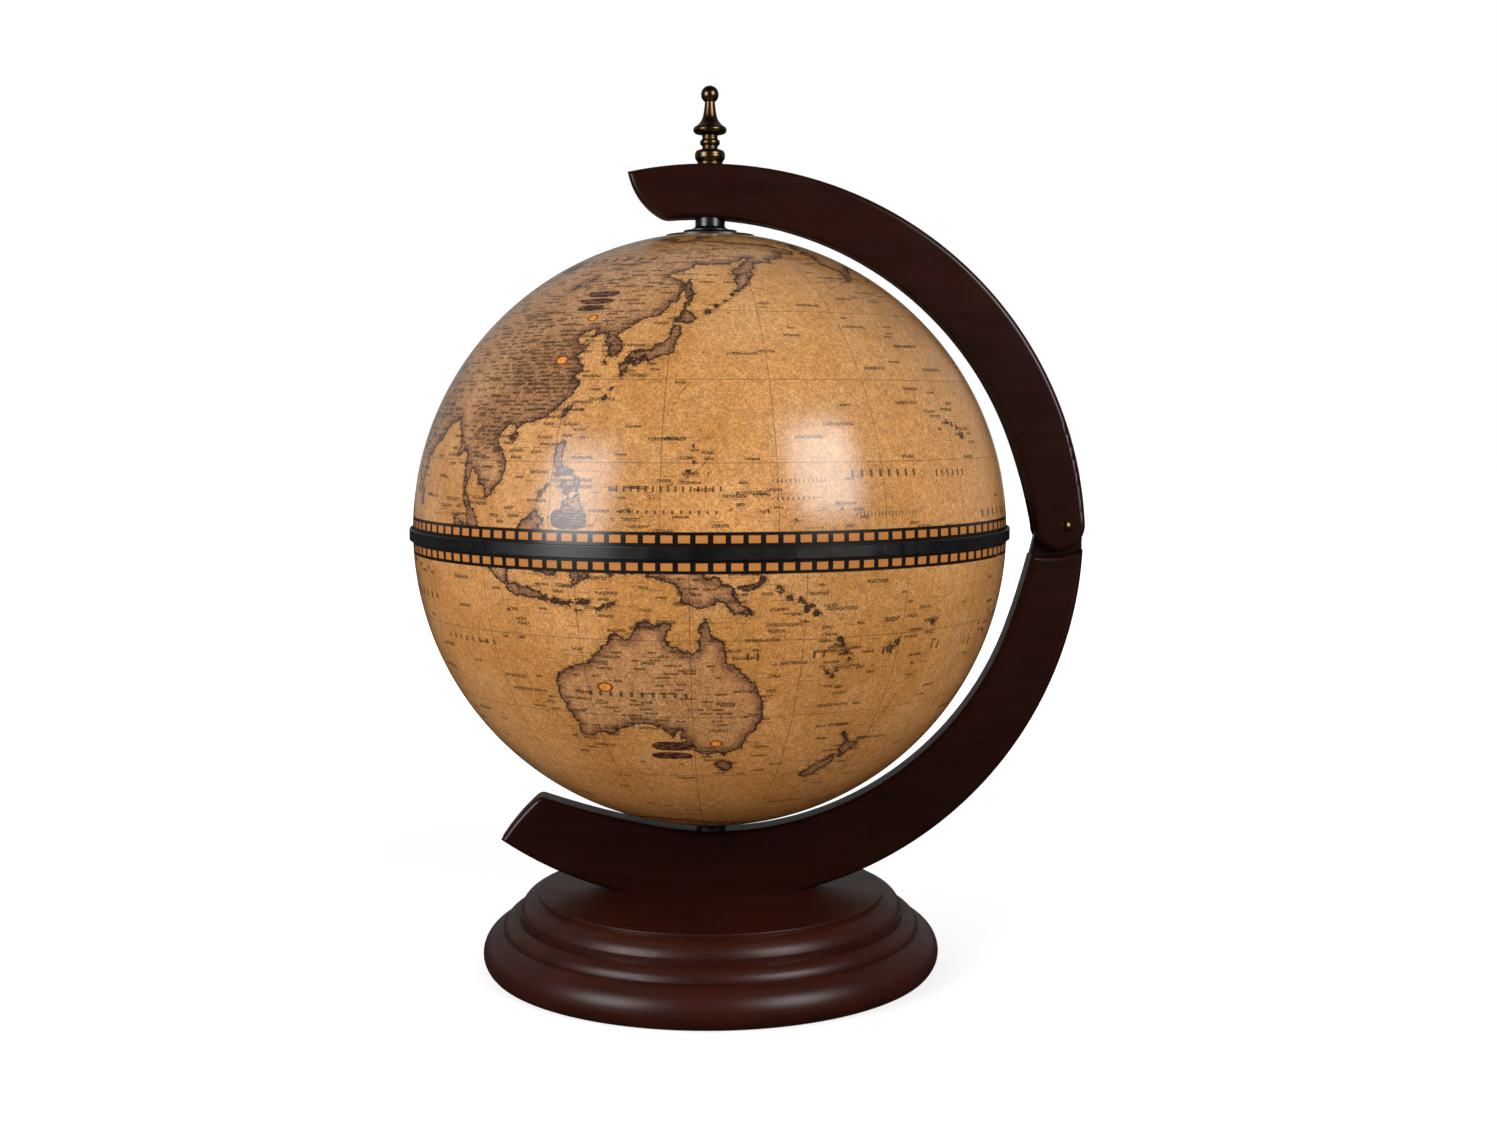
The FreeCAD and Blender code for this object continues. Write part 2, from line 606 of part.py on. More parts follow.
def make_upper_arm():
    """A C-shaped board with a pointed end over the globe and a slotted end at the hinge."""
    inner_x, inner_z = -s.upper_inner_left, -s.upper_inner_down
    outer_x, outer_z = -s.upper_outer_left, -s.upper_outer_down
    neck, centre = straightened(inner_x, inner_z, upper_inner, s.upper_neck_start, s.upper_neck_curve)
    end_in = centre[0] + on_circle(s.upper_neck_curve, s.cheek_end_up - centre[1])
    end_out = outer_x + on_circle(upper_outer, s.cheek_end_up - outer_z)
    end_radius = (end_out - end_in) / 2
    end_low = ((end_in + end_out) / 2, s.cheek_end_up - end_radius)
    nose = (-s.nose_reach, outer_z + on_circle(upper_outer, s.nose_reach + outer_x))
    belly = (-s.belly_reach, inner_z + on_circle(upper_inner, s.belly_reach + inner_x))
    body = new_body("upper_arm")
    board = outline(body, "upper_arm_outline", "XZ_Plane",
                    [(end_in, s.cheek_end_up), end_low, (end_out, s.cheek_end_up), nose, belly, neck],
                    {0: (end_radius, 1), 1: (end_radius, 1), 2: (upper_outer, 1),
                     3: (s.nose_curve, 1), 4: (upper_inner, -1), 5: (s.upper_neck_curve, -1)})
    extrude(body, "Pad", board, s.arm_thickness, symmetric=True)
    fillet(body, "cheek_easing", s.cheek_ease, across_at(end_in.value))
    fillet(body, "belly_rounding", s.belly_round, across_at(-s.belly_reach.value))
    fillet(body, "upper_arm_rounding", s.arm_round, on_faces)
    slot_top = s.pin_up + s.cheek_slot
    low = -end_radius * 2
    slot = outline(body, "cheek_slot", "XZ_Plane",
                   [(end_in - end_radius, low), (end_out + end_radius, low),
                    (end_out + end_radius, slot_top), (end_in - end_radius, slot_top)])
    pocket(body, slot, s.tongue_thickness + s.cheek_gap * 2, symmetric=True)
    pin_hole(body, "cheek_hole", s.barrel_radius + s.fixed_gap)
    above = upper_outer + s.arm_thickness
    bore(body, "top_spindle_hole", s.spindle_radius + s.fixed_gap, upper_inner / 2, above)
    bore(body, "finial_flat", s.finial_foot + s.spot_gap, arm_top, above)
    bore(body, "collar_flat", s.collar_radius + s.spot_gap, upper_inner / 2, arm_under)
    return place(body, globe_height)


def turned_about_y(label, corners, arcs):
    """A body of revolution about the hinge pin: corners as (radius, distance to the front)."""
    body = new_body(label)
    revolve(body, outline(body, label + "_profile", "XZ_Plane", corners, arcs))
    body.Placement.Rotation = FreeCAD.Rotation(FreeCAD.Vector(1, 0, 0), 90)
    body.setExpression(".Placement.Base.x", pin_x.text)
    body.setExpression(".Placement.Base.z", (globe_height + s.pin_up).text)
    return body


def dome(edge_radius, height):
    """Radius of the sphere that makes a dome of this width and height."""
    return (edge_radius * edge_radius + height * height) / (height * 2)


def make_hinge_barrel():
    """A tube with a domed head at the front; the screw goes in from behind."""
    face = s.arm_thickness / 2
    back = s.pin_end_gap - face
    blind_end = s.hinge_screw_length - face + s.pin_end_gap
    crown = dome(s.pin_head_radius, s.pin_head_height)
    turned_about_y("hinge_barrel", [
        (s.barrel_bore, back), (s.barrel_radius, back), (s.barrel_radius, face),
        (s.pin_head_radius, face), (0, face + s.pin_head_height), (0, blind_end),
        (s.barrel_bore, blind_end),
    ], {3: (crown, 1)})


def make_hinge_screw():
    face = s.arm_thickness / 2
    crown = dome(s.pin_head_radius, s.pin_head_height)
    screw_tip = s.hinge_screw_length - face
    turned_about_y("hinge_screw", [
        (0, -face - s.pin_head_height), (s.pin_head_radius, -face), (s.hinge_screw_radius, -face),
        (s.hinge_screw_radius, screw_tip), (0, screw_tip),
    ], {0: (crown, 1)})


# Shares of half a ring's thickness: how far its edge slopes in, and its arcs' radii.
finial_body_slope = 0.8
finial_ring_bulge = 1.15
finial_bead_bulge = 1.3
finial_body_bulge = 1.1


def make_finial():
    """Turned brass: foot, ring, bead, wide ring, bell and ball, screwed on the spindle."""
    ring, bead, body = s.finial_ring_up, s.finial_bead_up, s.finial_body_up
    ring_half, bead_half, body_half = s.finial_ring_half, s.finial_bead_half, s.finial_body_half
    ring_side = (s.finial_foot + s.finial_ring) / 2
    bead_side = (s.finial_waist + s.finial_bead) / 2
    body_side = s.finial_body - body_half * finial_body_slope
    ball_up = s.finial_height - s.finial_ball
    neck_top = ball_up - on_circle(s.finial_ball, s.finial_neck)
    waist_low = ring + ring_half + s.finial_foot_height / 2
    waist_high = body - body_half - s.finial_foot_height / 2
    hole = s.spindle_radius + s.fixed_gap
    hole_end = s.spindle_in_finial + s.fixed_gap
    ring_curve = ring_half * finial_ring_bulge
    turned("finial", [
        (hole, 0), (s.finial_foot, 0), (s.finial_foot, s.finial_foot_height),
        (ring_side, ring - ring_half), (s.finial_ring, ring), (ring_side, ring + ring_half),
        (s.finial_waist, waist_low), (s.finial_waist, bead - bead_half),
        (bead_side, bead - bead_half), (s.finial_bead, bead), (bead_side, bead + bead_half),
        (s.finial_waist, bead + bead_half), (s.finial_waist, waist_high),
        (body_side, body - body_half), (s.finial_body, body), (body_side, body + body_half),
        (s.finial_bell, s.finial_bell_up), (s.finial_neck, neck_top),
        (0, s.finial_height), (0, hole_end), (hole, hole_end),
    ], {
        3: (ring_curve, 1), 4: (ring_curve, 1), 5: (ring_curve * 2, 1),
        8: (bead_half * finial_bead_bulge, 1), 9: (bead_half * finial_bead_bulge, 1),
        12: (ring_half * 2, -1), 13: (body_half * finial_body_bulge, 1),
        14: (body_half * finial_body_bulge, 1),
        15: (s.finial_bell_curve, -1), 16: (s.finial_neck_curve, -1), 17: (s.finial_ball, 1),
    }, globe_height + arm_top)


# ---- poles: the same parts at the top and at the bottom, mirrored ----------------------------------

def make_pole_disc(pole, side):
    """A thin cap on the outside of a half."""
    hole = s.spindle_radius + s.shell_hole_gap
    inside = s.globe_radius + s.fixed_gap
    corners = [(hole, on_circle(inside, hole)), (s.pole_disc_radius, on_circle(inside, s.pole_disc_radius)),
               (s.pole_disc_radius, on_circle(pole_disc_outside, s.pole_disc_radius)),
               (hole, on_circle(pole_disc_outside, hole))]
    arcs = {0: (inside, -1), 2: (pole_disc_outside, 1)}
    turned(f"{pole}_pole_disc", *mirrored(corners, arcs, side), globe_height)


def mirrored(corners, arcs, side):
    """The same outline at the top (side 1) or turned over to the bottom (side -1)."""
    return ([(x, size(z) * side) for x, z in corners],
            {number: (radius, turn * side) for number, (radius, turn) in arcs.items()})


def make_collar(pole, side, arm_face):
    """A spacer whose foot flares out over the pole disc."""
    hole = s.spindle_radius + s.fixed_gap
    edge_top = flange_face + s.flange_edge
    corners = [(hole, flange_face), (s.flange_radius, flange_face), (s.flange_radius, edge_top),
               (s.collar_radius, edge_top + s.flange_rise), (s.collar_radius, arm_face), (hole, arm_face)]
    turned(f"{pole}_collar", *mirrored(corners, {2: (s.flange_curve, -1)}, side), globe_height)


def make_hub(pole, side):
    """A pad that fills the pole from inside, with the bearing for the spindle."""
    hole = s.spindle_radius + s.running_gap
    outside = shell_inside - s.fixed_gap
    corners = [(hole, hub_face), (s.hub_radius, hub_face), (s.hub_radius, on_circle(outside, s.hub_radius)),
               (hole, on_circle(outside, hole))]
    turned(f"{pole}_hub", *mirrored(corners, {2: (outside, 1)}, side), globe_height)


def make_washer(pole, side):
    hole = s.spindle_radius + s.fixed_gap
    corners = [(hole, washer_face), (s.washer_radius, washer_face),
               (s.washer_radius, washer_face + s.washer_thickness), (hole, washer_face + s.washer_thickness)]
    turned(f"{pole}_washer", *mirrored(corners, {}, side), globe_height)


def make_nut(pole, side):
    """A hexagon with a domed cap."""
    corner_across = s.nut_radius / 2
    corner_up = s.nut_radius * root(size(3)) / 2
    flat = [(s.nut_radius, 0), (corner_across, corner_up), (-corner_across, corner_up),
            (-s.nut_radius, 0), (-corner_across, -corner_up), (corner_across, -corner_up)]
    body = new_body(f"{pole}_nut")
    hexagon = outline(body, f"{pole}_nut_hexagon", "XY_Plane", flat)
    hexagon.setExpression("AttachmentOffset.Base.z", (washer_face * side).text)
    extrude(body, "Pad", hexagon, s.nut_height, reverse=side > 0)
    base, tip = washer_face - s.nut_height, nut_end
    corners = [(0, base + s.fixed_gap), (s.nut_dome_radius, base + s.fixed_gap),
               (s.nut_dome_radius, base - s.nut_skirt), (0, tip)]
    corners, arcs = mirrored(corners, {2: (dome(s.nut_dome_radius, s.nut_dome_height), -1)}, side)
    revolve(body, outline(body, f"{pole}_nut_cap", "XZ_Plane", corners, arcs))
    ends = spindle_end - s.fixed_gap, washer_face + s.moving_gap
    low, high = ends if side > 0 else (-ends[1], -ends[0])
    bore(body, f"{pole}_nut_hole", s.spindle_radius + s.fixed_gap, low, high)
    place(body, globe_height)


def make_spindle(pole, low, high):
    rod = cylinder(f"{pole}_spindle_rod", s.spindle_radius, high - low, 0, globe_height + low)
    rod.Label = f"{pole}_spindle"


def make_poles():
    for pole, side, face in (("top", 1, arm_under), ("bottom", -1, arm_saddle)):
        make_pole_disc(pole, side)
        make_collar(pole, side, face)
        make_hub(pole, side)
        make_washer(pole, side)
        make_nut(pole, side)
    make_spindle("top", spindle_end, arm_top + s.spindle_in_finial)
    make_spindle("bottom", -(arm_saddle + s.spindle_in_arm), -spindle_end)


# ---- the two halves --------------------------------------------------------------------------------

def half_bowl(label, outside, inside, hole, edge, side):
    """A bowl between two spheres, from its edge near the equator to the hole at its pole."""
    corners = [(on_circle(inside, edge), edge), (on_circle(outside, edge), edge),
               (hole, on_circle(outside, hole)), (hole, on_circle(inside, hole))]
    arcs = {1: (outside, 1), 3: (inside, -1)}
    turned(label, *mirrored(corners, arcs, side), globe_height)


def make_halves():
    shell_hole = s.spindle_radius + s.shell_hole_gap
    lining_hole = s.hub_radius + s.hub_hole_gap
    for name, side, edge in (("upper", 1, s.seam_gap + s.web_wall), ("lower", -1, s.web_wall)):
        half_bowl(f"{name}_shell", s.globe_radius, shell_inside, shell_hole, edge, side)
        half_bowl(f"{name}_lining", lining_outside, lining_inside, lining_hole, edge, side)


def make_upper_rim_ring():
    """Caps the edge of the upper half, with a skirt inside it."""
    low = s.seam_gap
    high = s.seam_gap + s.web_wall
    turned("upper_rim_ring", [
        (skirt_inside, low), (s.globe_radius, low), (s.globe_radius, high), (skirt_outside, high),
        (skirt_outside, s.skirt_height), (skirt_inside, s.skirt_height),
    ], height=globe_height)


def make_lower_rim_ring():
    """Sits on the edge of the lower half: a raised lip outside, and a skirt with a ledge inside."""
    grip = s.globe_radius + s.fixed_gap
    corner = s.lip_round
    ledge_under = -(s.ledge_drop + s.web_wall)
    body = turned("lower_rim_ring", [
        (grip, -s.lip_height), (lip_outside - corner, -s.lip_height), (lip_outside, corner - s.lip_height),
        (lip_outside, s.lip_height - corner), (lip_outside - corner, s.lip_height),
        (lip_inside, s.lip_height), (lip_inside, 0), (skirt_inside, 0), (skirt_inside, -s.ledge_drop),
        (skirt_inside - s.ledge_width, -s.ledge_drop), (skirt_inside - s.ledge_width, ledge_under),
        (skirt_outside, ledge_under), (skirt_outside, -s.web_wall), (grip, -s.web_wall),
    ], {1: (corner, 1), 3: (corner, 1)}, globe_height)
    hole = pocket(body, circle(body, "ledge_hole", ledge_under, tray_screw_circle, 0,
                               s.tray_screw_radius + s.fixed_gap), s.web_wall, reverse=True)
    polar(body, "ledge_holes", [hole], tray_places)


# ---- tray ------------------------------------------------------------------------------------------

tray_places = 4
tray_radius = skirt_inside - s.tray_gap
tray_low = -s.ledge_drop
tray_top = tray_low + s.tray_wall
tray_screw_circle = tray_radius - s.tray_screw_inset
glass_circle = tray_radius - s.tray_land - s.tray_wall - s.glass_radius
bottle_floor_low = s.tray_floor_gap - nut_end


def make_bottle_tray():
    """One moulding: a deck on the ring's ledge, a bottle well in the middle and glass cups round it."""
    well = s.bottle_radius + s.tray_wall
    floor = bottle_floor_low + s.tray_wall
    body = new_body("bottle_tray")
    deck = outline(body, "tray_profile", "XZ_Plane", [
        (0, bottle_floor_low), (well, bottle_floor_low), (well, tray_low), (tray_radius, tray_low),
        (tray_radius, tray_top), (s.bottle_radius, tray_top), (s.bottle_radius, floor), (0, floor)])
    revolve(body, deck)
    diagonal = glass_circle / root(size(2))
    outer = circle(body, "cup_outside", tray_low, diagonal, diagonal, s.glass_radius + s.tray_wall)
    cup = extrude(body, "Pad", outer, s.glass_depth, reverse=True)
    inner = circle(body, "cup_inside", tray_top, diagonal, diagonal, s.glass_radius)
    hollow = pocket(body, inner, s.glass_depth)
    polar(body, "cups", [cup, hollow], tray_places)
    hole = pocket(body, circle(body, "tray_hole", tray_top, tray_screw_circle, 0,
                               s.tray_screw_radius + s.fixed_gap), s.tray_wall)
    polar(body, "tray_holes", [hole], tray_places)
    place(body, globe_height)


def make_tray_screws():
    """Round-headed screws through the tray's edge into the ledge, all in one file."""
    screws = []
    under = globe_height + tray_top
    for place_number, (across, along) in enumerate(((1, 0), (0, 1), (-1, 0), (0, -1))):
        shank = cylinder(f"tray_shank_{place_number}", s.tray_screw_radius, s.tray_screw_length,
                         tray_screw_circle * across, under - s.tray_screw_length)
        head = doc.addObject("Part::Cone", f"tray_head_{place_number}")
        head.setExpression("Radius1", s.tray_screw_head.text)
        head.setExpression("Radius2", (s.tray_screw_head / 2).text)
        head.setExpression("Height", s.tray_screw_head_height.text)
        head.setExpression(".Placement.Base.x", (tray_screw_circle * across).text)
        head.setExpression(".Placement.Base.z", under.text)
        for part in (shank, head):
            part.setExpression(".Placement.Base.y", (tray_screw_circle * along).text)
        screw = doc.addObject("Part::Fuse", f"tray_screw_{place_number}")
        screw.Base = shank
        screw.Tool = head
        screws.append(screw)
    compound("tray_screws", screws)


# ---- build, check and write ------------------------------------------------------------------------

def write_parts():
    labels = [
        "base", "base_felt", "arm_screws", "arm_dowels", "lower_arm", "upper_arm", "hinge_barrel",
        "hinge_screw", "finial", "upper_shell", "upper_lining", "upper_rim_ring", "lower_shell",
        "lower_lining", "lower_rim_ring", "bottle_tray", "tray_screws",
    ]
    for pole in ("top", "bottom"):
        labels += [f"{pole}_{name}" for name in ("spindle", "collar", "pole_disc", "hub", "washer", "nut")]
    doc.recompute()
    for thing in doc.Objects:
        if "Invalid" in thing.State or "Error" in thing.State:
            raise RuntimeError(f"{thing.Label}: {thing.State}")
    parts = {label: doc.getObjectsByLabel(label)[0].Shape for label in labels}
    for label, shape in parts.items():
        if shape.isNull() or not shape.isValid():
            raise RuntimeError(f"{label} has no valid shape")
    os.makedirs("parts", exist_ok=True)
    for label, shape in parts.items():
        shape.exportStep(f"parts/{label}.step")
        print(f"{label}: {len(shape.Solids)} solid, {shape.Volume / 1000:.1f} cm3")


make_base()
make_base_felt()
make_arm_screws()
make_arm_dowels()
make_lower_arm()
make_upper_arm()
make_hinge_barrel()
make_hinge_screw()
make_finial()
make_poles()
make_halves()
make_upper_rim_ring()
make_lower_rim_ring()
make_bottle_tray()
make_tray_screws()
write_parts()
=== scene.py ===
import math
import random

import bpy
import numpy as np
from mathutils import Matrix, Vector, kdtree


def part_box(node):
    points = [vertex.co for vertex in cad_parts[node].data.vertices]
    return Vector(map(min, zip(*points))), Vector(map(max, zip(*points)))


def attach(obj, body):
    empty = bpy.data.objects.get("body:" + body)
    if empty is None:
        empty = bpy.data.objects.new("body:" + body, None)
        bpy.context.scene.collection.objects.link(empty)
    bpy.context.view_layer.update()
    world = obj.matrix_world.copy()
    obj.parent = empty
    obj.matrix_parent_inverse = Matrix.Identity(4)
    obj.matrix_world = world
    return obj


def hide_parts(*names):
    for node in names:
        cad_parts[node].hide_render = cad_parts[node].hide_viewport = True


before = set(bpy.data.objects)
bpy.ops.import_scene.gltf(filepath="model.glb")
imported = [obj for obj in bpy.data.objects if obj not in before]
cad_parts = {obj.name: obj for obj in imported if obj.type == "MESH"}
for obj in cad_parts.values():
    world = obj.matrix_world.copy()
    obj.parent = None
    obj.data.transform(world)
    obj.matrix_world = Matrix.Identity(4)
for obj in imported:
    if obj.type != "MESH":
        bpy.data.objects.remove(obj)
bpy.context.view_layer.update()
print("frame loaded:", len(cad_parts), "nodes")

globe = {
    "radius": 0.165,
    "centreHeight": 0.2462,
    "wall": 0.003,
    "poleHole": 0.004,
    "around": 600,            # faces round the equator
    "ringsOutside": 150,
    "ringsInside": 10,
    "upperFront": 148.5,      # longitude that faces the front
    "lowerFront": 143.6,
}
mmPerDegree = globe["radius"] * 1000 * math.pi / 180


# small helpers for node trees

def fill(tree, made, values):
    for key, value in values.items():
        socket = made.inputs[key]
        if isinstance(value, bpy.types.NodeSocket):
            tree.links.new(value, socket)
        else:
            socket.default_value = value


def node(tree, kind, values=None, **settings):
    made = tree.nodes.new("ShaderNode" + kind)
    for key, value in settings.items():
        setattr(made, key, value)
    fill(tree, made, values or {})
    return made


def calc(tree, operation, *values):
    made = node(tree, "Math", operation=operation)
    fill(tree, made, dict(enumerate(values)))
    return made.outputs[0]


def times(tree, first, second):
    return calc(tree, "MULTIPLY", first, second)


def scaled(tree, value, factor, extra):
    return calc(tree, "MULTIPLY_ADD", value, factor, extra)


def fromMiddle(tree, value):
    # distance from the middle of each whole step of a value, 0 to 0.5
    return calc(tree, "ABSOLUTE", calc(tree, "SUBTRACT", calc(tree, "FRACT", value), 0.5))


def vectorCalc(tree, operation, *values):
    made = node(tree, "VectorMath", operation=operation)
    fill(tree, made, dict(enumerate(values)))
    return made.outputs["Value" if operation in ("LENGTH", "DOT_PRODUCT") else "Vector"]


def fade(tree, value, start, end, first=0.0, last=1.0):
    made = node(tree, "MapRange", {"Value": value, "From Min": start, "From Max": end,
                                   "To Min": first, "To Max": last}, interpolation_type="SMOOTHSTEP")
    return made.outputs[0]


def mix(tree, factor, first, second, how="MIX"):
    made = tree.nodes.new("ShaderNodeMix")
    made.data_type = "RGBA"
    made.blend_type = how
    made.clamp_factor = True
    fill(tree, made, {0: factor, 6: first, 7: second})
    return made.outputs[2]


def noise(tree, vector, scale, detail=2.0, roughness=0.5, distortion=0.0):
    made = node(tree, "TexNoise", {"Vector": vector, "Scale": scale, "Detail": detail,
                                   "Roughness": roughness, "Distortion": distortion})
    return made.outputs[0]


def bump(tree, height, distance, strength):
    return node(tree, "Bump", {"Height": height, "Distance": distance, "Strength": strength}).outputs[0]


def tone(red, green, blue):
    def straight(level):
        level /= 255
        return level / 12.92 if level <= 0.04045 else ((level + 0.055) / 1.055) ** 2.4
    return (straight(red), straight(green), straight(blue), 1.0)


def newGroup(name, inputs, outputs):
    tree = bpy.data.node_groups.new(name, "ShaderNodeTree")
    for label, kind, value in inputs:
        socket = tree.interface.new_socket(label, in_out="INPUT", socket_type="NodeSocket" + kind)
        if value is not None:
            socket.default_value = value
    for label, kind in outputs:
        tree.interface.new_socket(label, in_out="OUTPUT", socket_type="NodeSocket" + kind)
    return tree, tree.nodes.new("NodeGroupInput").outputs, tree.nodes.new("NodeGroupOutput")


def useGroup(tree, group, **values):
    made = tree.nodes.new("ShaderNodeGroup")
    made.node_tree = group
    fill(tree, made, values)
    return made.outputs


def newMaterial(name, **shader):
    made = bpy.data.materials.new(name)
    made.use_nodes = True
    tree = made.node_tree
    principled = tree.nodes["Principled BSDF"]
    for label, value in shader.items():
        principled.inputs[label.replace("_", " ")].default_value = value
    place = node(tree, "TexCoord").outputs["Object"]
    return made, tree, principled, place


# effects that several finishes share

def makeWearGroup():
    tree, given, out = newGroup("handlingWear", [("Vector", "Vector", None), ("Scale", "Float", 1.0)],
                                [("Cloud", "Float"), ("Smudge", "Float"), ("Speck", "Float"),
                                 ("Scratch", "Float")])
    at = vectorCalc(tree, "SCALE", given["Vector"])
    tree.links.new(given["Scale"], at.node.inputs["Scale"])
    long = node(tree, "Mapping", {"Vector": at, "Rotation": (0.3, 0.5, 0.9), "Scale": (30, 900, 420)})
    fill(tree, out, {"Cloud": noise(tree, at, 14, 3, 0.55),
                     "Smudge": fade(tree, noise(tree, at, 42, 4, 0.6, 0.8), 0.38, 0.68),
                     "Speck": fade(tree, noise(tree, at, 520, 2, 0.6), 0.66, 0.74),
                     "Scratch": fade(tree, noise(tree, long.outputs[0], 1.0, 1, 0.4), 0.72, 0.8)})
    return tree


def makeGrainGroup():
    tree, given, out = newGroup("woodGrain", [("Vector", "Vector", None), ("Bend", "Float", 1.0)],
                                [("Streak", "Float"), ("Pore", "Float")])
    swirl = noise(tree, given["Vector"], 7, 2, 0.5)
    bend = node(tree, "CombineXYZ", {"Z": times(tree, swirl, times(tree, given["Bend"], 0.05))}).outputs[0]
    lifted = vectorCalc(tree, "ADD", given["Vector"], bend)
    along = node(tree, "Mapping", {"Vector": lifted, "Scale": (6, 90, 90)}).outputs[0]
    fine = node(tree, "Mapping", {"Vector": lifted, "Scale": (70, 1500, 1500)}).outputs[0]
    fill(tree, out, {"Streak": noise(tree, along, 1.0, 5, 0.62, 0.3),
                     "Pore": fade(tree, noise(tree, fine, 1.0, 1, 0.5), 0.6, 0.72)})
    return tree


def makeStrokesGroup():
    # rows of short broken strokes, as small map notes look from a distance
    tree, given, out = newGroup("noteStrokes", [
        ("Longitude", "Float", 0.0), ("Up", "Float", 0.0), ("Row", "Float", 3.0), ("Cell", "Float", 9.0),
        ("Half", "Float", 0.4), ("Density", "Float", 0.5), ("Seed", "Float", 0.0), ("Break", "Float", 0.5)],
        [("Ink", "Float")])
    rows = calc(tree, "DIVIDE", given["Up"], given["Row"])
    row = calc(tree, "FLOOR", rows)
    rowLatitude = times(tree, times(tree, calc(tree, "ADD", row, 0.5), given["Row"]),
                       1 / (globe["radius"] * 1000))
    along = times(tree, times(tree, given["Longitude"], mmPerDegree),
                 calc(tree, "COSINE", rowLatitude))
    shift = node(tree, "TexWhiteNoise", {"W": calc(tree, "ADD", row, given["Seed"])},
                 noise_dimensions="1D").outputs["Value"]
    cells = calc(tree, "ADD", calc(tree, "DIVIDE", along, given["Cell"]), times(tree, shift, 7))
    chance = node(tree, "TexWhiteNoise", {"Vector": node(tree, "CombineXYZ", {
        "X": calc(tree, "FLOOR", cells), "Y": row, "Z": given["Seed"]}).outputs[0]},
        noise_dimensions="3D").outputs["Color"]
    first, second, third = node(tree, "SeparateColor", {"Color": chance}).outputs[:3]
    present = calc(tree, "LESS_THAN", first, given["Density"])
    reach = scaled(tree, second, 0.28, 0.18)
    inside = calc(tree, "LESS_THAN", fromMiddle(tree, cells), reach)
    off = calc(tree, "ABSOLUTE", calc(tree, "SUBTRACT", calc(tree, "FRACT", rows),
                                      scaled(tree, third, 0.4, 0.3)))
    tall = calc(tree, "LESS_THAN", times(tree, off, given["Row"]), given["Half"])
    flutter = noise(tree, node(tree, "CombineXYZ", {
        "X": times(tree, along, 1.9), "Y": times(tree, given["Up"], 1.3),
        "Z": given["Seed"]}).outputs[0], 1.0, 1, 0.6)
    broken = calc(tree, "GREATER_THAN", flutter, given["Break"])
    ink = times(tree, times(tree, present, inside), times(tree, tall, broken))
    tree.links.new(ink, out.inputs["Ink"])
    return tree


def makeGridGroup():
    # one family of thin lines every so many degrees
    tree, given, out = newGroup("degreeLines", [
        ("Degrees", "Float", 0.0), ("Every", "Float", 20.0), ("Millimetres", "Float", 1.0),
        ("Half", "Float", 0.25)], [("Ink", "Float")])
    steps = calc(tree, "ADD", calc(tree, "DIVIDE", given["Degrees"], given["Every"]), 40.5)
    away = times(tree, times(tree, fromMiddle(tree, steps), given["Every"]), given["Millimetres"])
    tree.links.new(fade(tree, away, given["Half"], times(tree, given["Half"], 0.3)),
                   out.inputs["Ink"])
    return tree


wear = makeWearGroup()
grain = makeGrainGroup()
strokes = makeStrokesGroup()
gridLines = makeGridGroup()
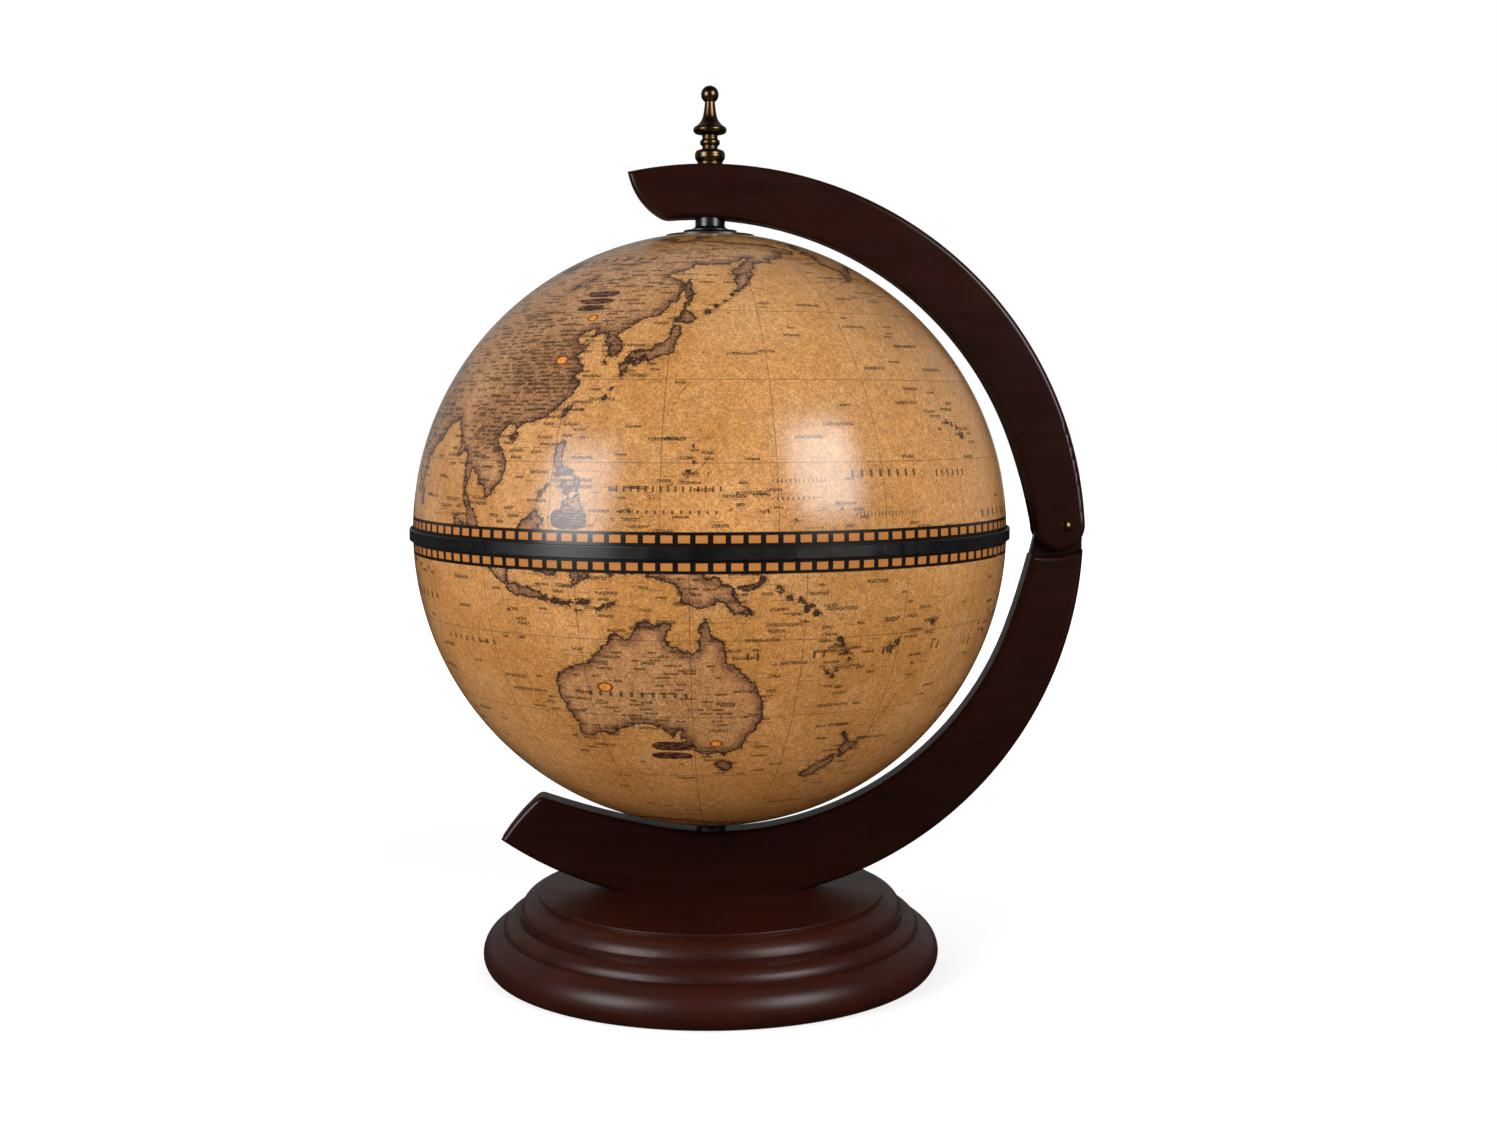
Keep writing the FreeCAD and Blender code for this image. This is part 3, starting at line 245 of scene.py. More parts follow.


# the map's coasts as longitudes and latitudes; a seeded walk roughens them further on

outlines = {
    "oldWorld": """26 71 31 70 34 69 41 67.5 40 66 34 66.7 33 66 38 64 40 65 44 66 44 68 54 68.5 60 69
      68 68.5 67 71 70 73 73 71 75 72.5 81 73.5 87 75 98 76 104 77.5 113 75.5 108 73.5 113 74 127 73.5
      130 71 139 72.5 150 71.5 160 70 170 70 180 69 190 66.2 186 64.5 179 65.2 177.5 62.5 170 60 164 60
      163 58 162 56 160 53 156.7 51 155.7 54 156 57 160 59.8 164 62.5 160 61.8 155 59.3 150 59.3 143 59.2
      138 56.5 135.5 54.7 140 53.5 141.3 52.5 140.5 50 140.3 48 137.5 45.5 135 43.7 132.5 43 130.7 42.3
      129.7 41 127.6 39.8 127.5 39.2 129.3 37 129.4 35.6 128.5 34.9 126.4 34.4 126.4 36 126.7 37.3
      124.8 38 125.2 39.5 124 40 121.6 38.9 122.2 40.5 121 40.8 118 39.1 117.7 38.3 119 37.2 122.5 37.3
      120.3 36 119.2 34.9 120.5 33.5 121.8 31.8 120.5 30.4 122 29.8 121.3 28 119.7 26 118 24.5 116.5 23
      114.2 22.3 113 22 110.5 21.2 110 20.4 109.5 21.6 108 21.6 106.5 20.2 105.7 19 106.5 17.7 108.3 16
      109.3 13.5 109 11.7 107 10.4 106.5 9 104.9 8.6 104.8 10.3 103 11 102 12.6 100.9 13.4 100 13.3
      99.9 11.8 99.2 10 99.3 9.2 100.4 8.3 100.6 7.2 102.3 6.2 103.4 4.5 103.5 2.7 104.2 1.4 103.5 1.3
      101.4 2.7 100.4 5 100.2 6.5 98.7 8.2 98.6 10 98.7 12 98 14 97.6 16.4 96.5 17 95.3 15.8 94.3 16
      94.5 18.5 93.5 20 92 21.5 91 22.7 89 21.8 87 21.3 86.5 20 83.5 17.8 82 16.5 80.2 15.5 80.2 13
      79.8 10.5 79 9.3 78 8.3 77.5 8.1 76.3 9.8 75 12 74 15 73 17.5 72.8 20.5 72.3 21.8 71 20.8 69 22.3
      70 22.9 67.5 23.8 66.7 25.2 62 25.2 57.5 25.7 56.8 27.1 54 26.6 51.5 27.9 50 30 48.5 30 48 29.5
      48.8 27.8 50.2 26.3 50.8 24.9 51.4 26 51.7 24.5 54 24.2 56.3 26.2 56.5 24.5 59.8 22.5 58 20.3
      57.7 19 55 17.5 52.2 15.7 48.5 14 45 12.8 43.5 12.8 42.8 15.5 41 19 39 21.5 37.5 24.3 35.2 28
      34.9 29.5 34.2 27.8 32.5 29.9 33.7 27.5 35.5 24 37.2 21 37.4 19 39.3 15.8 41.5 13.6 43.2 12.2
      43.2 11.5 44.5 10.4 51.2 11.8 50.7 9 48 4.5 44 1 41.5 -2 39.5 -4.5 39 -7 40.5 -10.5 40.7 -15
      37 -18 34.9 -20 35.5 -23 33 -25.5 32.5 -28 30 -31.2 27 -33.7 22 -34.3 20 -34.8 18.4 -34 18.2 -32
      16.5 -29 15 -26.5 14.5 -22.5 12 -18 12.3 -14 13.8 -11 12.5 -6 9 -2 9.5 1 9.7 3.8 8.5 4.6 6 4.3
      4 6.4 1 6 -2 4.8 -4.5 5.2 -7.5 4.4 -10.5 6.5 -13.2 8.8 -16.7 12.4 -17.4 14.7 -16.3 17 -16.3 19.3
      -17 21 -16 23.7 -14.5 26.2 -11.5 28.5 -9.7 30.5 -9 32.7 -6.5 34.2 -5.9 35.8 -2.5 35.2 3 36.8
      10 37.3 11 36.7 10.5 34.3 13 32.9 15.5 32.2 19 30.3 20 31 20.2 32.3 23 32.7 29 30.9 31.5 31.5
      34.2 31.3 35 32.8 36 35.8 36.2 36.8 34 36.3 32 36.1 30.5 36.8 28 36.7 27 37.5 26.3 39.3 26.2 40.2
      29 40.6 29 41.2 31.5 41.3 35 42 38 41 41.5 41.5 41.5 42.7 37.5 44.7 38.5 46.8 35 46.3 36.5 45.3
      34 44.4 32.8 45.5 33.5 46.1 31 46.6 29.7 45.2 28.6 43.8 27.7 42.5 28.6 41.4 26 40.7 24 40.8
      22.8 40.4 24 38.3 23 36.5 21.7 36.9 21 38.5 19.4 40.5 19.5 42 16 43.5 13.7 45.1 12.3 45.4 12.4 44.2
      14 42.5 16.2 41.7 18.5 40.2 17 40.4 17.1 38.9 16 38 15.7 40 14 41 12.3 41.8 10.3 43.5 8.9 44.4
      7 43.5 4.5 43.4 3.1 42.9 3.2 41.9 0.5 40.7 -0.2 39 -0.7 37.7 -2.2 36.7 -5.4 36.1 -6.5 37 -9 37
      -9.5 38.8 -8.8 41 -9.2 43 -8 43.7 -2 43.4 -1.3 44.7 -1.2 46 -2.8 47.5 -4.7 48.4 -1.6 48.7
      -1.5 49.6 0.2 49.6 1.6 50.5 3.5 51.4 4.7 53 7 53.6 8.5 54 8.2 56 8.2 57 10.5 57.6 10.3 56 11 54
      14 54 18.5 54.6 21 55.3 21.2 57 24.3 57.2 23.5 59.2 28 59.6 30 60 25 60.2 22.8 60 21.4 61 21.5 63
      25.3 65 24 65.8 22 65.5 21.3 64.3 17.7 62.3 17.2 60.7 18.8 59.8 16.7 57.5 16 56.2 14.3 55.5
      12.8 55.5 12.3 57 11 58.9 10.5 59.3 8 58.1 5.6 58.8 5 61.5 9 63.6 13 66 15 68.3 19 69.8""",
    "newWorld": """-168 65.6 -162 66.5 -166.5 68.3 -162 70 -156.5 71.3 -141 69.7 -135 69 -128 70.2
      -115 68.5 -108 68 -97 68 -94 71.5 -93 69 -86 69 -82 69 -85 66.5 -87 64.5 -93 62 -94.5 59 -92 57
      -82.3 55 -82 52.8 -79 51.5 -79.5 54.5 -77 56 -78 60 -77.5 62.4 -72 61.5 -69.5 60 -69 58.8 -65 60
      -62 57.5 -60 55 -56 52.5 -60 50.2 -66.5 50.2 -69.5 48 -65 49 -65 46 -60.5 46.5 -63.5 44.6 -66 43.6
      -67 45 -70 43.7 -70.8 42.5 -70 41.7 -74 40.6 -75.5 38.5 -76.3 37 -76 35.3 -78 34 -81 32 -81.3 30
      -80.2 27 -80.4 25.3 -81.8 26 -82.8 28 -84 30 -88 30.3 -89.5 29.3 -91 29.4 -94 29.6 -97.2 27.7
      -97.7 24 -97 20 -94.5 18.2 -91 18.7 -90.4 21 -87 21.4 -88 18 -88.7 16 -84 15.8 -83.3 15 -83.7 11
      -81.5 9 -79 9.5 -77 8.5 -75.5 10.5 -74 11.3 -71.5 12.2 -71.5 10.5 -70 12 -68 10.6 -62 10.7 -60 8.5
      -57 6 -52 4.8 -50 1 -48.5 -0.8 -44 -2.5 -40 -2.9 -37 -4.8 -35.2 -6 -35 -9 -38.5 -13 -39 -17
      -40.5 -21 -42 -23 -46.5 -24 -48.6 -26.5 -50 -29.5 -53.5 -33.7 -56 -34.9 -58.5 -34.3 -57 -36.5
      -59 -38.7 -62.2 -39 -65 -41 -63.6 -42.5 -65.5 -45 -67.5 -46.5 -65.8 -47.8 -69 -50.5 -68.5 -52.3
      -65.2 -54.8 -70 -55.3 -74.5 -52 -75.5 -48 -74.5 -44 -73.7 -40 -73.5 -37 -71.5 -32 -70.4 -25
      -70.3 -18.3 -76 -14 -78 -10 -81.2 -6 -80 -3 -80.8 -1 -80 1 -77.5 4 -77.8 7 -78.5 8.6 -79.5 8.9
      -80.3 7.4 -83 8.3 -85.7 10 -87.5 13 -92 14.5 -94.5 16.3 -98 16.2 -102 18 -105.5 20.3 -105.5 22.5
      -109 26 -112.5 29.5 -114.8 31.7 -113 28.5 -110 24.5 -110 23 -112 25.5 -115 28 -116 30.5 -118.3 33.9
      -120.6 34.6 -122.5 37.8 -124.2 40.5 -124 46 -124.7 48.3 -122.8 49 -127.5 51 -130.5 54.8 -134.5 58
      -139.5 59.7 -146 60.7 -151 59.3 -156 57.5 -163 54.8 -158 58 -162 59 -165.5 61 -164.5 63 -161 64.5
      -166 64.5""",
    "greenland": """-73 78.2 -60 76 -54 71 -51 68 -53 65 -48 60.8 -43 60 -40 65 -32 68.3 -23 70.5 -20 74
      -18 79 -30 83 -50 82 -65 80""",
    "iceland": "-24 65.5 -22 64 -19 63.4 -14 65 -16 66.4 -20 66",
    "britain": """-5.5 50 -3.5 50.3 1.3 51 1.5 52.7 -0.3 54.3 -2 56 -2 57.6 -4 58.6 -5.7 57 -5 55 -3.2 54.2
      -4.5 53 -4.8 51.8 -3 51.4""",
    "ireland": "-10 52 -6.3 52.2 -6 54 -7.5 55.3 -10 54",
    "baffin": "-65 62 -72 63 -78 66 -73 68 -80 70 -88 73.5 -78 73 -68 70 -62 66.5",
    "victoria": "-116 73 -106 73 -101 70 -105 69 -117 69.5",
    "ellesmere": "-62 82.5 -78 83 -92 81 -88 77 -78 76.5 -76 79",
    "banks": "-125 72 -120 74.5 -117 73.5",
    "newfoundland": "-59 47.6 -53 46.7 -54 49.5 -56 51.5",
    "cuba": "-85 22 -80 23.2 -75 20.9 -74.2 20.2 -77.5 19.9 -79 21.5 -83 22.3",
    "hispaniola": "-74.4 18.5 -68.5 18.3 -70 19.8 -73.3 19.9",
    "madagascar": "49.3 -12 50.5 -15.5 47.5 -24.8 45 -25.5 43.3 -22 44.5 -17 47 -15",
    "novaya": "52 71 56 70.7 58 74 68 76.8 60 76 55 74",
    "svalbard": "11 79 17 76.7 24 78 27 80.2 14 80",
    "siberianIsles": "138 74.5 143 73.3 150 75 143 76",
    "ceylon": "79.8 8.5 80.2 6 81.8 7 80.6 9.6",
    "hainan": "108.7 19.3 110 18.3 111 19.5 110.3 20",
    "taiwan": "120.2 23 120.8 22 121.9 25 121.2 25.1",
    "kyushu": "129.8 33 130.2 31.3 131.3 31.3 132 33.3 131 33.8",
    "shikoku": "132.4 33.5 132.9 32.8 134.2 33.4 134.6 34.1 133.4 34.1",
    "honshu": """131 34.1 132.5 34.3 135 34.6 135.8 33.5 137 34.6 139 35 140.8 35.5 141 37.5 142 39.5
      141.3 41.4 140.3 41.2 139.8 39 138.5 37.4 136.7 37 136 35.7 133 35.6 131 34.6""",
    "hokkaido": "140 42 141.2 42.4 143.2 42 145.5 43.3 144.2 44.1 141.8 45.4 141.4 43.4 140.3 43.2",
    "sakhalin": "142 46 143.5 46.6 143.4 49 144.5 49 143.2 52 143 54.2 142.2 53.5 142 50",
    "luzon": """120.2 16.2 120.6 18.5 122.2 18.5 121.6 15.9 121.8 14.2 124.1 12.7 123.3 13 121.8 13.6
      120.7 13.9 120.1 15""",
    "mindanao": "122 7 123.6 7.6 125.4 5.7 126.4 7.5 125.6 9.7 124.2 8.7 122.8 8.5",
    "samar": "124.3 12.5 125.6 12 125.2 10.2 124.5 10.5",
    "panay": "122 11.8 123.1 11.5 122.9 10.7 122 10.5",
    "negros": "122.5 9.9 123.4 10.9 123.2 9.1",
    "palawan": "117.2 8.4 119.2 10.3 119.6 11.3 118.6 10.4",
    "borneo": """109 1.5 109.6 2 111.3 2.5 113 3.3 115 5 116.8 7 119 5.2 117.7 4 118 2.2 119 1 117.5 0.8
      117.3 -1 116.3 -3.8 114.6 -4.1 111.8 -3.4 110 -1.6 109 0.3""",
    "sumatra": """95.3 5.6 97.5 5.2 100.3 2.9 103.5 0 106 -3 105.8 -5.8 104.6 -5.8 102.3 -4 100.4 -1
      98.7 1.7 96.5 3.7""",
    "java": "105.2 -6.8 106.2 -6 108.5 -6.7 110.8 -6.4 112.7 -6.9 114.5 -7.8 114.4 -8.7 111 -8.3 108 -7.8",
    "bali": "115.1 -8.2 116.7 -8.3 116.5 -8.9 115.1 -8.8",
    "sumbawa": "117 -8.4 119.1 -8.3 118.9 -8.9 117 -9.1",
    "flores": "119.9 -8.4 122.8 -8.1 122.7 -8.7 120 -8.9",
    "sumba": "119 -9.5 120.8 -10 120 -10.3",
    "timor": "123.5 -10.3 125 -9 127.3 -8.4 126 -9.2 124 -10.4",
    "celebes": """119.5 -5.5 119.4 -3.3 118.8 -2.8 119.8 0 120.8 1.1 123.5 0.9 125.1 1.6 124.3 0.4 120.5 0.4
      120.2 -1 123.3 -0.8 121.6 -1.9 122.9 -4 121.6 -4.8 121 -2.7 120.3 -3 120.4 -5.5""",
    "halmahera": "127.5 1 127.9 2.2 128.7 1.5 128.2 0.5 128.2 -0.8 127.7 0",
    "seram": "128 -3.2 130.8 -3.3 129 -3.6",
    "newGuinea": """131 -0.8 132.5 -0.4 134 -0.8 134.4 -2.5 135 -3.3 137 -1.8 138 -1.6 141 -2.6 144.5 -3.9
      145.8 -5.3 147.8 -6 147 -6.8 148.5 -8.5 150.8 -10.3 149.7 -10.6 147 -9.5 144.5 -7.7 143 -9
      141 -9.1 139 -8.1 138 -8.4 138.8 -6.8 138 -5.5 135.5 -4.4 133 -4 132.8 -2.8 131 -1.5""",
    "newBritain": "148.4 -5.7 150 -6.3 152.2 -4.9 152.2 -4.2 151.5 -5 150 -5.5",
    "newIreland": "150.8 -2.7 153 -4.5 152.8 -4.9",
    "bougainville": "154.7 -5.5 155.9 -6.8 155.2 -6.7",
    "caledonia": "164 -20.2 165.5 -21 167 -22.2 166.5 -22.4 165 -21.3",
    "australia": """113.6 -24.5 113.3 -26 114.2 -28 115 -30.5 115.7 -32 115 -34.3 116.5 -35 118 -35
      120 -33.9 123.5 -33.9 124.3 -33 126 -32.3 129 -31.6 131.2 -31.5 133 -32.1 134.3 -33 135.6 -34.8
      137.9 -32.6 137.4 -34.9 138.3 -34.6 138.4 -35.6 139.7 -36.3 140 -37.5 141.5 -38.4 143.5 -38.8
      144.7 -38.1 146.4 -39.1 148 -37.9 150 -37.4 150.3 -36 151.3 -33.8 152.7 -31.8 153.5 -28.5
      153.1 -26 151.8 -24 150.7 -22.5 149.2 -21 148 -19.9 146.3 -19 146 -17 145.3 -15 143.8 -14.4
      143.3 -12.5 142.5 -10.8 141.7 -12.5 141.6 -15 140.8 -17.5 139.2 -17.4 137.8 -16.2 135.5 -14.9
      136.2 -13.2 136.9 -12.2 135 -12.2 132.6 -11.4 131 -12.2 130 -13.3 129.6 -14.9 128.2 -14.9
      127 -13.9 125.5 -14.5 124 -16.3 123.6 -17.4 122.2 -18 121 -19.6 119 -20 117 -20.7 115.5 -21.5
      114.2 -21.9 113.7 -22.8""",
    "tasmania": "144.7 -40.7 148.2 -40.9 148 -43 146.8 -43.6 145.3 -42.3",
    "northIsland": """172.8 -34.5 175 -36.6 176 -37.6 178.5 -37.7 177.9 -39.2 176 -41.3 175 -41.5 174.9 -40
      173.9 -39.4 174.7 -38 174.4 -36.6""",
    "southIsland": """172.7 -40.6 174.2 -41.4 172.8 -43.7 170.7 -45.9 168.5 -46.6 166.5 -46 168.5 -44
      171.3 -42.2""",
    "antarctica": """-180 -78 -160 -77.5 -150 -77 -130 -74.5 -100 -72.5 -75 -73 -68 -68 -58 -63.3 -62 -68
      -62 -74 -40 -78 -25 -75 -10 -71 10 -70 35 -69 50 -67 70 -68.5 75 -70 90 -66.7 110 -66.2 135 -66
      150 -68.5 165 -71 165 -77.5 180 -78 180 -90 -180 -90""",
    "caspian": "47.5 45.5 51 46.8 53 46.5 53 45 50.5 44.5 51 43 53.8 41 53.8 37 50 37.3 49 40 47.7 43",
    "baikal": "104 51.6 108 52.6 109.8 55.4 107 53.8",
    "superior": "-92 46.8 -88 48.7 -84.5 46.8 -88 46.6",
    "michigan": "-88 42 -86.4 43 -85.2 45.6 -87.4 45",
    "victoriaLake": "32 -2.5 34 -1.3 34 0.3 31.8 0",
}

islets = """145.7 15.2 .25 144.8 13.4 .3 145.6 18 .15 -155.5 19.5 .6 -156.4 20.8 .35 -158 21.4 .35
    -159.5 22 .3 147.9 44.6 .5 150 46.3 .4 152 47.6 .3 154.5 49.4 .4 156 50.5 .4 128 26.5 .35
    129.3 28.3 .3 130.6 30.4 .3 124.2 24.4 .2 134.5 7.4 .25 121.1 13 .55 123.8 10.3 .4 126.6 -3.4 .6
    124.6 10.9 .3 157 -7.6 .5 158.9 -8 .5 160.1 -9.6 .55 161.1 -9 .4 161.9 -10.5 .5 159.6 -8.5 .3
    166.9 -15.2 .5 167.5 -16.3 .4 168.4 -17.7 .35 169.3 -19 .25 167.3 -21 .3 178 -17.8 .65
    179.4 -16.6 .5 188 -13.7 .35 187.4 -13.5 .3 184.8 -21.2 .2 210.6 -17.6 .35 168 7.1 .12 171.3 7.2 .12
    173 1.4 .12 138.1 9.5 .15 151.8 7.4 .15 158.2 6.9 .2 163 5.3 .15 126.5 33.4 .35 128.8 34.6 .2
    -91 -.5 .7 -16.5 28.3 .6 3 39.6 .5 14.2 37.5 1.2 9 40 1 9.1 42.2 .6 25 35.2 .8 33.2 35 .8 11.8 55.5 .7
    57.6 -20.3 .4 55.5 -21.1 .4 72.5 -7 .2 105.6 -10.5 .2 106.3 -2.8 .6 116.4 -20.8 .1 -61 14.5 .3
    -66.4 18.2 .6 -77.3 18.1 .7 -59 -51.7 1.1 -36.7 -54.4 .6 69.5 -49.3 .8 -132 53.3 .9 -126 49.8 1.2"""

mapMarks = {
    # longitude, latitude, half width and half height in millimetres
    "towns": [
        (116.0, 34.0, 4.2, 2.7), (119.1, 43.5, 3.0, 2.4), (123.5, -24.1, 4.4, 2.8),
        (144.7, -36.1, 3.4, 2.6), (77, 28, 4, 2.7), (37, 55.5, 4, 2.7), (2.5, 48.8, 3.6, 2.4),
        (31, 30, 3.4, 2.4), (-99, 19.5, 3.6, 2.5), (-74.5, 41, 3.4, 2.4), (-47, -22.5, 3.8, 2.6),
        (28, -26, 3.6, 2.4), (-112, 34.5, 3.4, 2.4)],
    "plaques": [
        (117.9, 50.0, 9.6, 2.3), (117.2, 47.9, 9.8, 2.2), (116.6, 46.0, 8.2, 2.0),
        (123.8, 5.4, 9.8, 5.0), (135.4, -36.8, 10.6, 3.1), (134.9, -39.3, 10.4, 2.5),
        (85, 60, 9.5, 4.6), (20, 3, 9.5, 4.8), (-98, 50, 9.5, 4.8), (-58, -12, 9.5, 4.8),
        (-30, 30, 9, 4.5)],
    # rows of spaced ticks where the map's large names stand
    "rows": [
        (140.7, 10.6, 27, 1.5, 3.6), (141.4, 6.8, 25, 1.0, 4.2), (164.2, 12.0, 14, 1.1, 2.2),
        (163.0, 9.0, 11, 0.9, 2.6), (180.5, 13.0, 21, 1.9, 5.4), (197.3, 12.7, 13, 1.7, 4.6),
        (180.3, 6.1, 18, 1.3, 2.1), (129.6, -25.4, 26, 1.5, 5.4), (92.4, -17.1, 22, 1.4, 6.0),
        (151.0, -17.9, 3, 2.1, 5.0), (163.2, -17.9, 3, 2.1, 5.0), (177.5, -18.1, 3, 2.1, 5.0),
        (190, -18.1, 3, 2.1, 5.0), (202, -18.6, 3, 2.1, 5.0), (100, 62, 40, 2.4, 8.0),
        (78, 23, 18, 1.7, 5.0), (18, 14, 34, 2.2, 8.0), (-100, 41, 36, 2.2, 8.0),
        (-58, -8, 30, 2.0, 7.0), (-35, -5, 26, 1.8, 7.0), (-140, 5, 40, 2.0, 8.0),
        (70, -10, 36, 2.0, 8.0), (-35, 35, 26, 1.8, 7.0), (15, 48, 26, 1.6, 5.0)],
    # dotted chains
    "tracks": [
        "149.5 17.5 147 14.5 144.5 12.4 141 11", "144.6 29.5 142.5 26.8 141.3 24",
        "180 36.2 184 30 187 24", "196.1 45.7 201 39 204.2 33.4", "193 28 198.5 24 206 18.5",
        "190.5 13.4 196 8.5 200.4 4.1", "160.5 52.6 152 47 146 43.8",
        "185 51.5 190 52.7 196 54.4 203 57.5", "183.5 -26.5 182 -31 179.8 -35.8",
        "155.2 -31.9 158 -35.5 160.1 -38.8", "149 -12.5 153 -17 156 -21", "110 -30 118 -41 128 -45",
        "60 -10 70 -20 66 -30", "-30 50 -40 30 -42 12", "-20 -5 -14 -20 -14 -40",
        "-95 5 -100 -15 -108 -35"],
}

crowded = [  # where the map is busiest: longitude, latitude, reach in degrees, weight
    (112, 31, 13, 1.0), (103, 22, 9, 0.9), (128, 40, 9, 0.7), (100, 42, 16, 0.6), (80, 25, 13, 0.8),
    (120, 55, 22, 0.45), (15, 48, 16, 1.0), (45, 38, 16, 0.6), (-85, 39, 16, 0.8), (-60, -15, 20, 0.4),
    (12, 8, 18, 0.5), (30, -12, 18, 0.45), (134, -25, 16, 0.34), (142, -6, 8, 0.5), (112, -3, 12, 0.4)]


def pairs(text):
    numbers = [float(word) for word in text.split()]
    return list(zip(numbers[0::2], numbers[1::2]))


def roughen(start, end, walk, longest=0.45, wander=0.11):
    # halves a stretch of coast again and again, moving each middle a little sideways
    across, up = end[0] - start[0], end[1] - start[1]
    shrink = max(0.15, math.cos(math.radians((start[1] + end[1]) / 2)))
    length = math.hypot(across * shrink, up)
    if length < longest:
        return [start]
    push = walk.gauss(0, wander) * min(length, 6)
    middle = ((start[0] + end[0]) / 2 - up / length * push / shrink,
              (start[1] + end[1]) / 2 + across * shrink / length * push)
    return roughen(start, middle, walk, longest, wander) + roughen(middle, end, walk, longest, wander)


def makeCoasts():
    walk = random.Random(41)
    coasts = []
    for text in outlines.values():
        points = pairs(text)
        around = []
        for start, end in zip(points, points[1:] + points[:1]):
            straight = start[1] <= -85 or end[1] <= -85
            around += [start] if straight else roughen(start, end, walk)
        coasts.append(around)
    numbers = [float(word) for word in islets.split()]
    for longitude, latitude, size in zip(numbers[0::3], numbers[1::3], numbers[2::3]):
        around = []
        for step in range(9):
            angle = step / 9 * math.tau
            reach = size * walk.uniform(0.65, 1.25)
            around.append((longitude + reach * math.cos(angle) / math.cos(math.radians(latitude)),
                           latitude + reach * math.sin(angle)))
        coasts.append(around)
    return coasts


def onBall(longitude, latitude):
    a, b = np.radians(longitude), np.radians(latitude)
    return np.stack([np.cos(a) * np.cos(b), np.sin(a) * np.cos(b), np.sin(b)], -1)


def makeTree(points):
    places = onBall(np.array([p[0] for p in points]), np.array([p[1] for p in points]))
    tree = kdtree.KDTree(len(points))
    for number, place in enumerate(places):
        tree.insert(place, number)
    tree.balance()
    return tree


def dense(points, step, closed):
    # points close together along a line of longitudes and latitudes
    made = []
    for start, end in zip(points, points[1:] + (points[:1] if closed else [])):
        if start[1] <= -85 or end[1] <= -85:
            continue
        shrink = max(0.1, math.cos(math.radians(start[1])))
        parts = max(1, int(math.hypot((end[0] - start[0]) * shrink, end[1] - start[1]) / step))
        made += [(start[0] + (end[0] - start[0]) * i / parts, start[1] + (end[1] - start[1]) * i / parts)
                 for i in range(parts)]
    return made


coasts = makeCoasts()
coastTree = makeTree([point for coast in coasts for point in dense(coast, 0.12, True)])
trackTree = makeTree([point for text in mapMarks["tracks"] for point in dense(pairs(text), 0.15, False)])
print("map drawn:", sum(len(coast) for coast in coasts), "coast points")


def landOnRing(latitude, longitudes):
    # True where a point of one parallel lies inside an odd number of outlines
    crossings = []
    for coast in coasts:
        start, end = np.array(coast), np.roll(np.array(coast), -1, 0)
        cut = (start[:, 1] > latitude) != (end[:, 1] > latitude)
        a, b = start[cut], end[cut]
        crossings.append(a[:, 0] + (latitude - a[:, 1]) / (b[:, 1] - a[:, 1]) * (b[:, 0] - a[:, 0]))
    where = np.sort(np.concatenate(crossings))
    inside = np.zeros(len(longitudes), bool)
    for turn in (-360, 0, 360):
        inside ^= np.searchsorted(where, longitudes + turn) % 2 == 1
    return inside


def nearest(tree, longitude, latitude):
    # millimetres to the nearest point of a tree
    places = onBall(longitude, latitude)
    chord = np.array([tree.find(place)[2] for place in places])
    return 2 * np.arcsin(np.clip(chord / 2, 0, 1)) * globe["radius"] * 1000


def offsets(longitude, latitude, mark):
    # millimetres east and north of a mark
    east = (longitude - mark[0] + 180) % 360 - 180
    return east * mmPerDegree * np.cos(np.radians(latitude)), (latitude - mark[1]) * mmPerDegree


def mapFields(longitude, latitude, rings):
    fields = {}
    land = np.zeros(len(longitude), bool)
    for ring in rings:
        land[ring] = landOnRing(latitude[ring.start], longitude[ring])
    away = nearest(coastTree, longitude, latitude)
    fields["coast"] = np.clip(np.where(land, away, -away), -30, 30)
    fields["track"] = np.clip(nearest(trackTree, longitude, latitude), 0, 10)
    town = np.full(len(longitude), 9.0)
    for mark in mapMarks["towns"]:
        east, north = offsets(longitude, latitude, mark)
        town = np.minimum(town, np.hypot(east / mark[2], north / mark[3]))
    fields["town"] = town
    plaque = np.full(len(longitude), 9.0)
    for mark in mapMarks["plaques"]:
        east, north = offsets(longitude, latitude, mark)
        plaque = np.minimum(plaque, (np.abs(east / mark[2]) ** 3 + np.abs(north / mark[3]) ** 3) ** (1 / 3))
    fields["plaque"] = np.minimum(plaque, 9)
    rowUp, rowAlong = np.full(len(longitude), 9.0), np.zeros(len(longitude))
    for mark in mapMarks["rows"]:
        east, north = offsets(longitude, latitude, mark)
        near = (np.abs(east) < mark[2] + 3) & (np.abs(north) < mark[3] + 4)
        end = np.clip((np.abs(east) - mark[2]) / 1.5, 0, 6)
        rowUp[near] = (np.abs(north) / mark[3] + end)[near]
        rowAlong[near] = (east / mark[4])[near]
    fields["rowUp"], fields["rowAlong"] = rowUp, rowAlong
    crowd = np.zeros(len(longitude))
    for mark in crowded:
        east, north = offsets(longitude, latitude, mark)
        crowd = np.maximum(crowd, mark[3] * np.exp(-(east ** 2 + north ** 2) / (mark[2] * mmPerDegree) ** 2))
    fields["crowd"] = crowd
    return fields


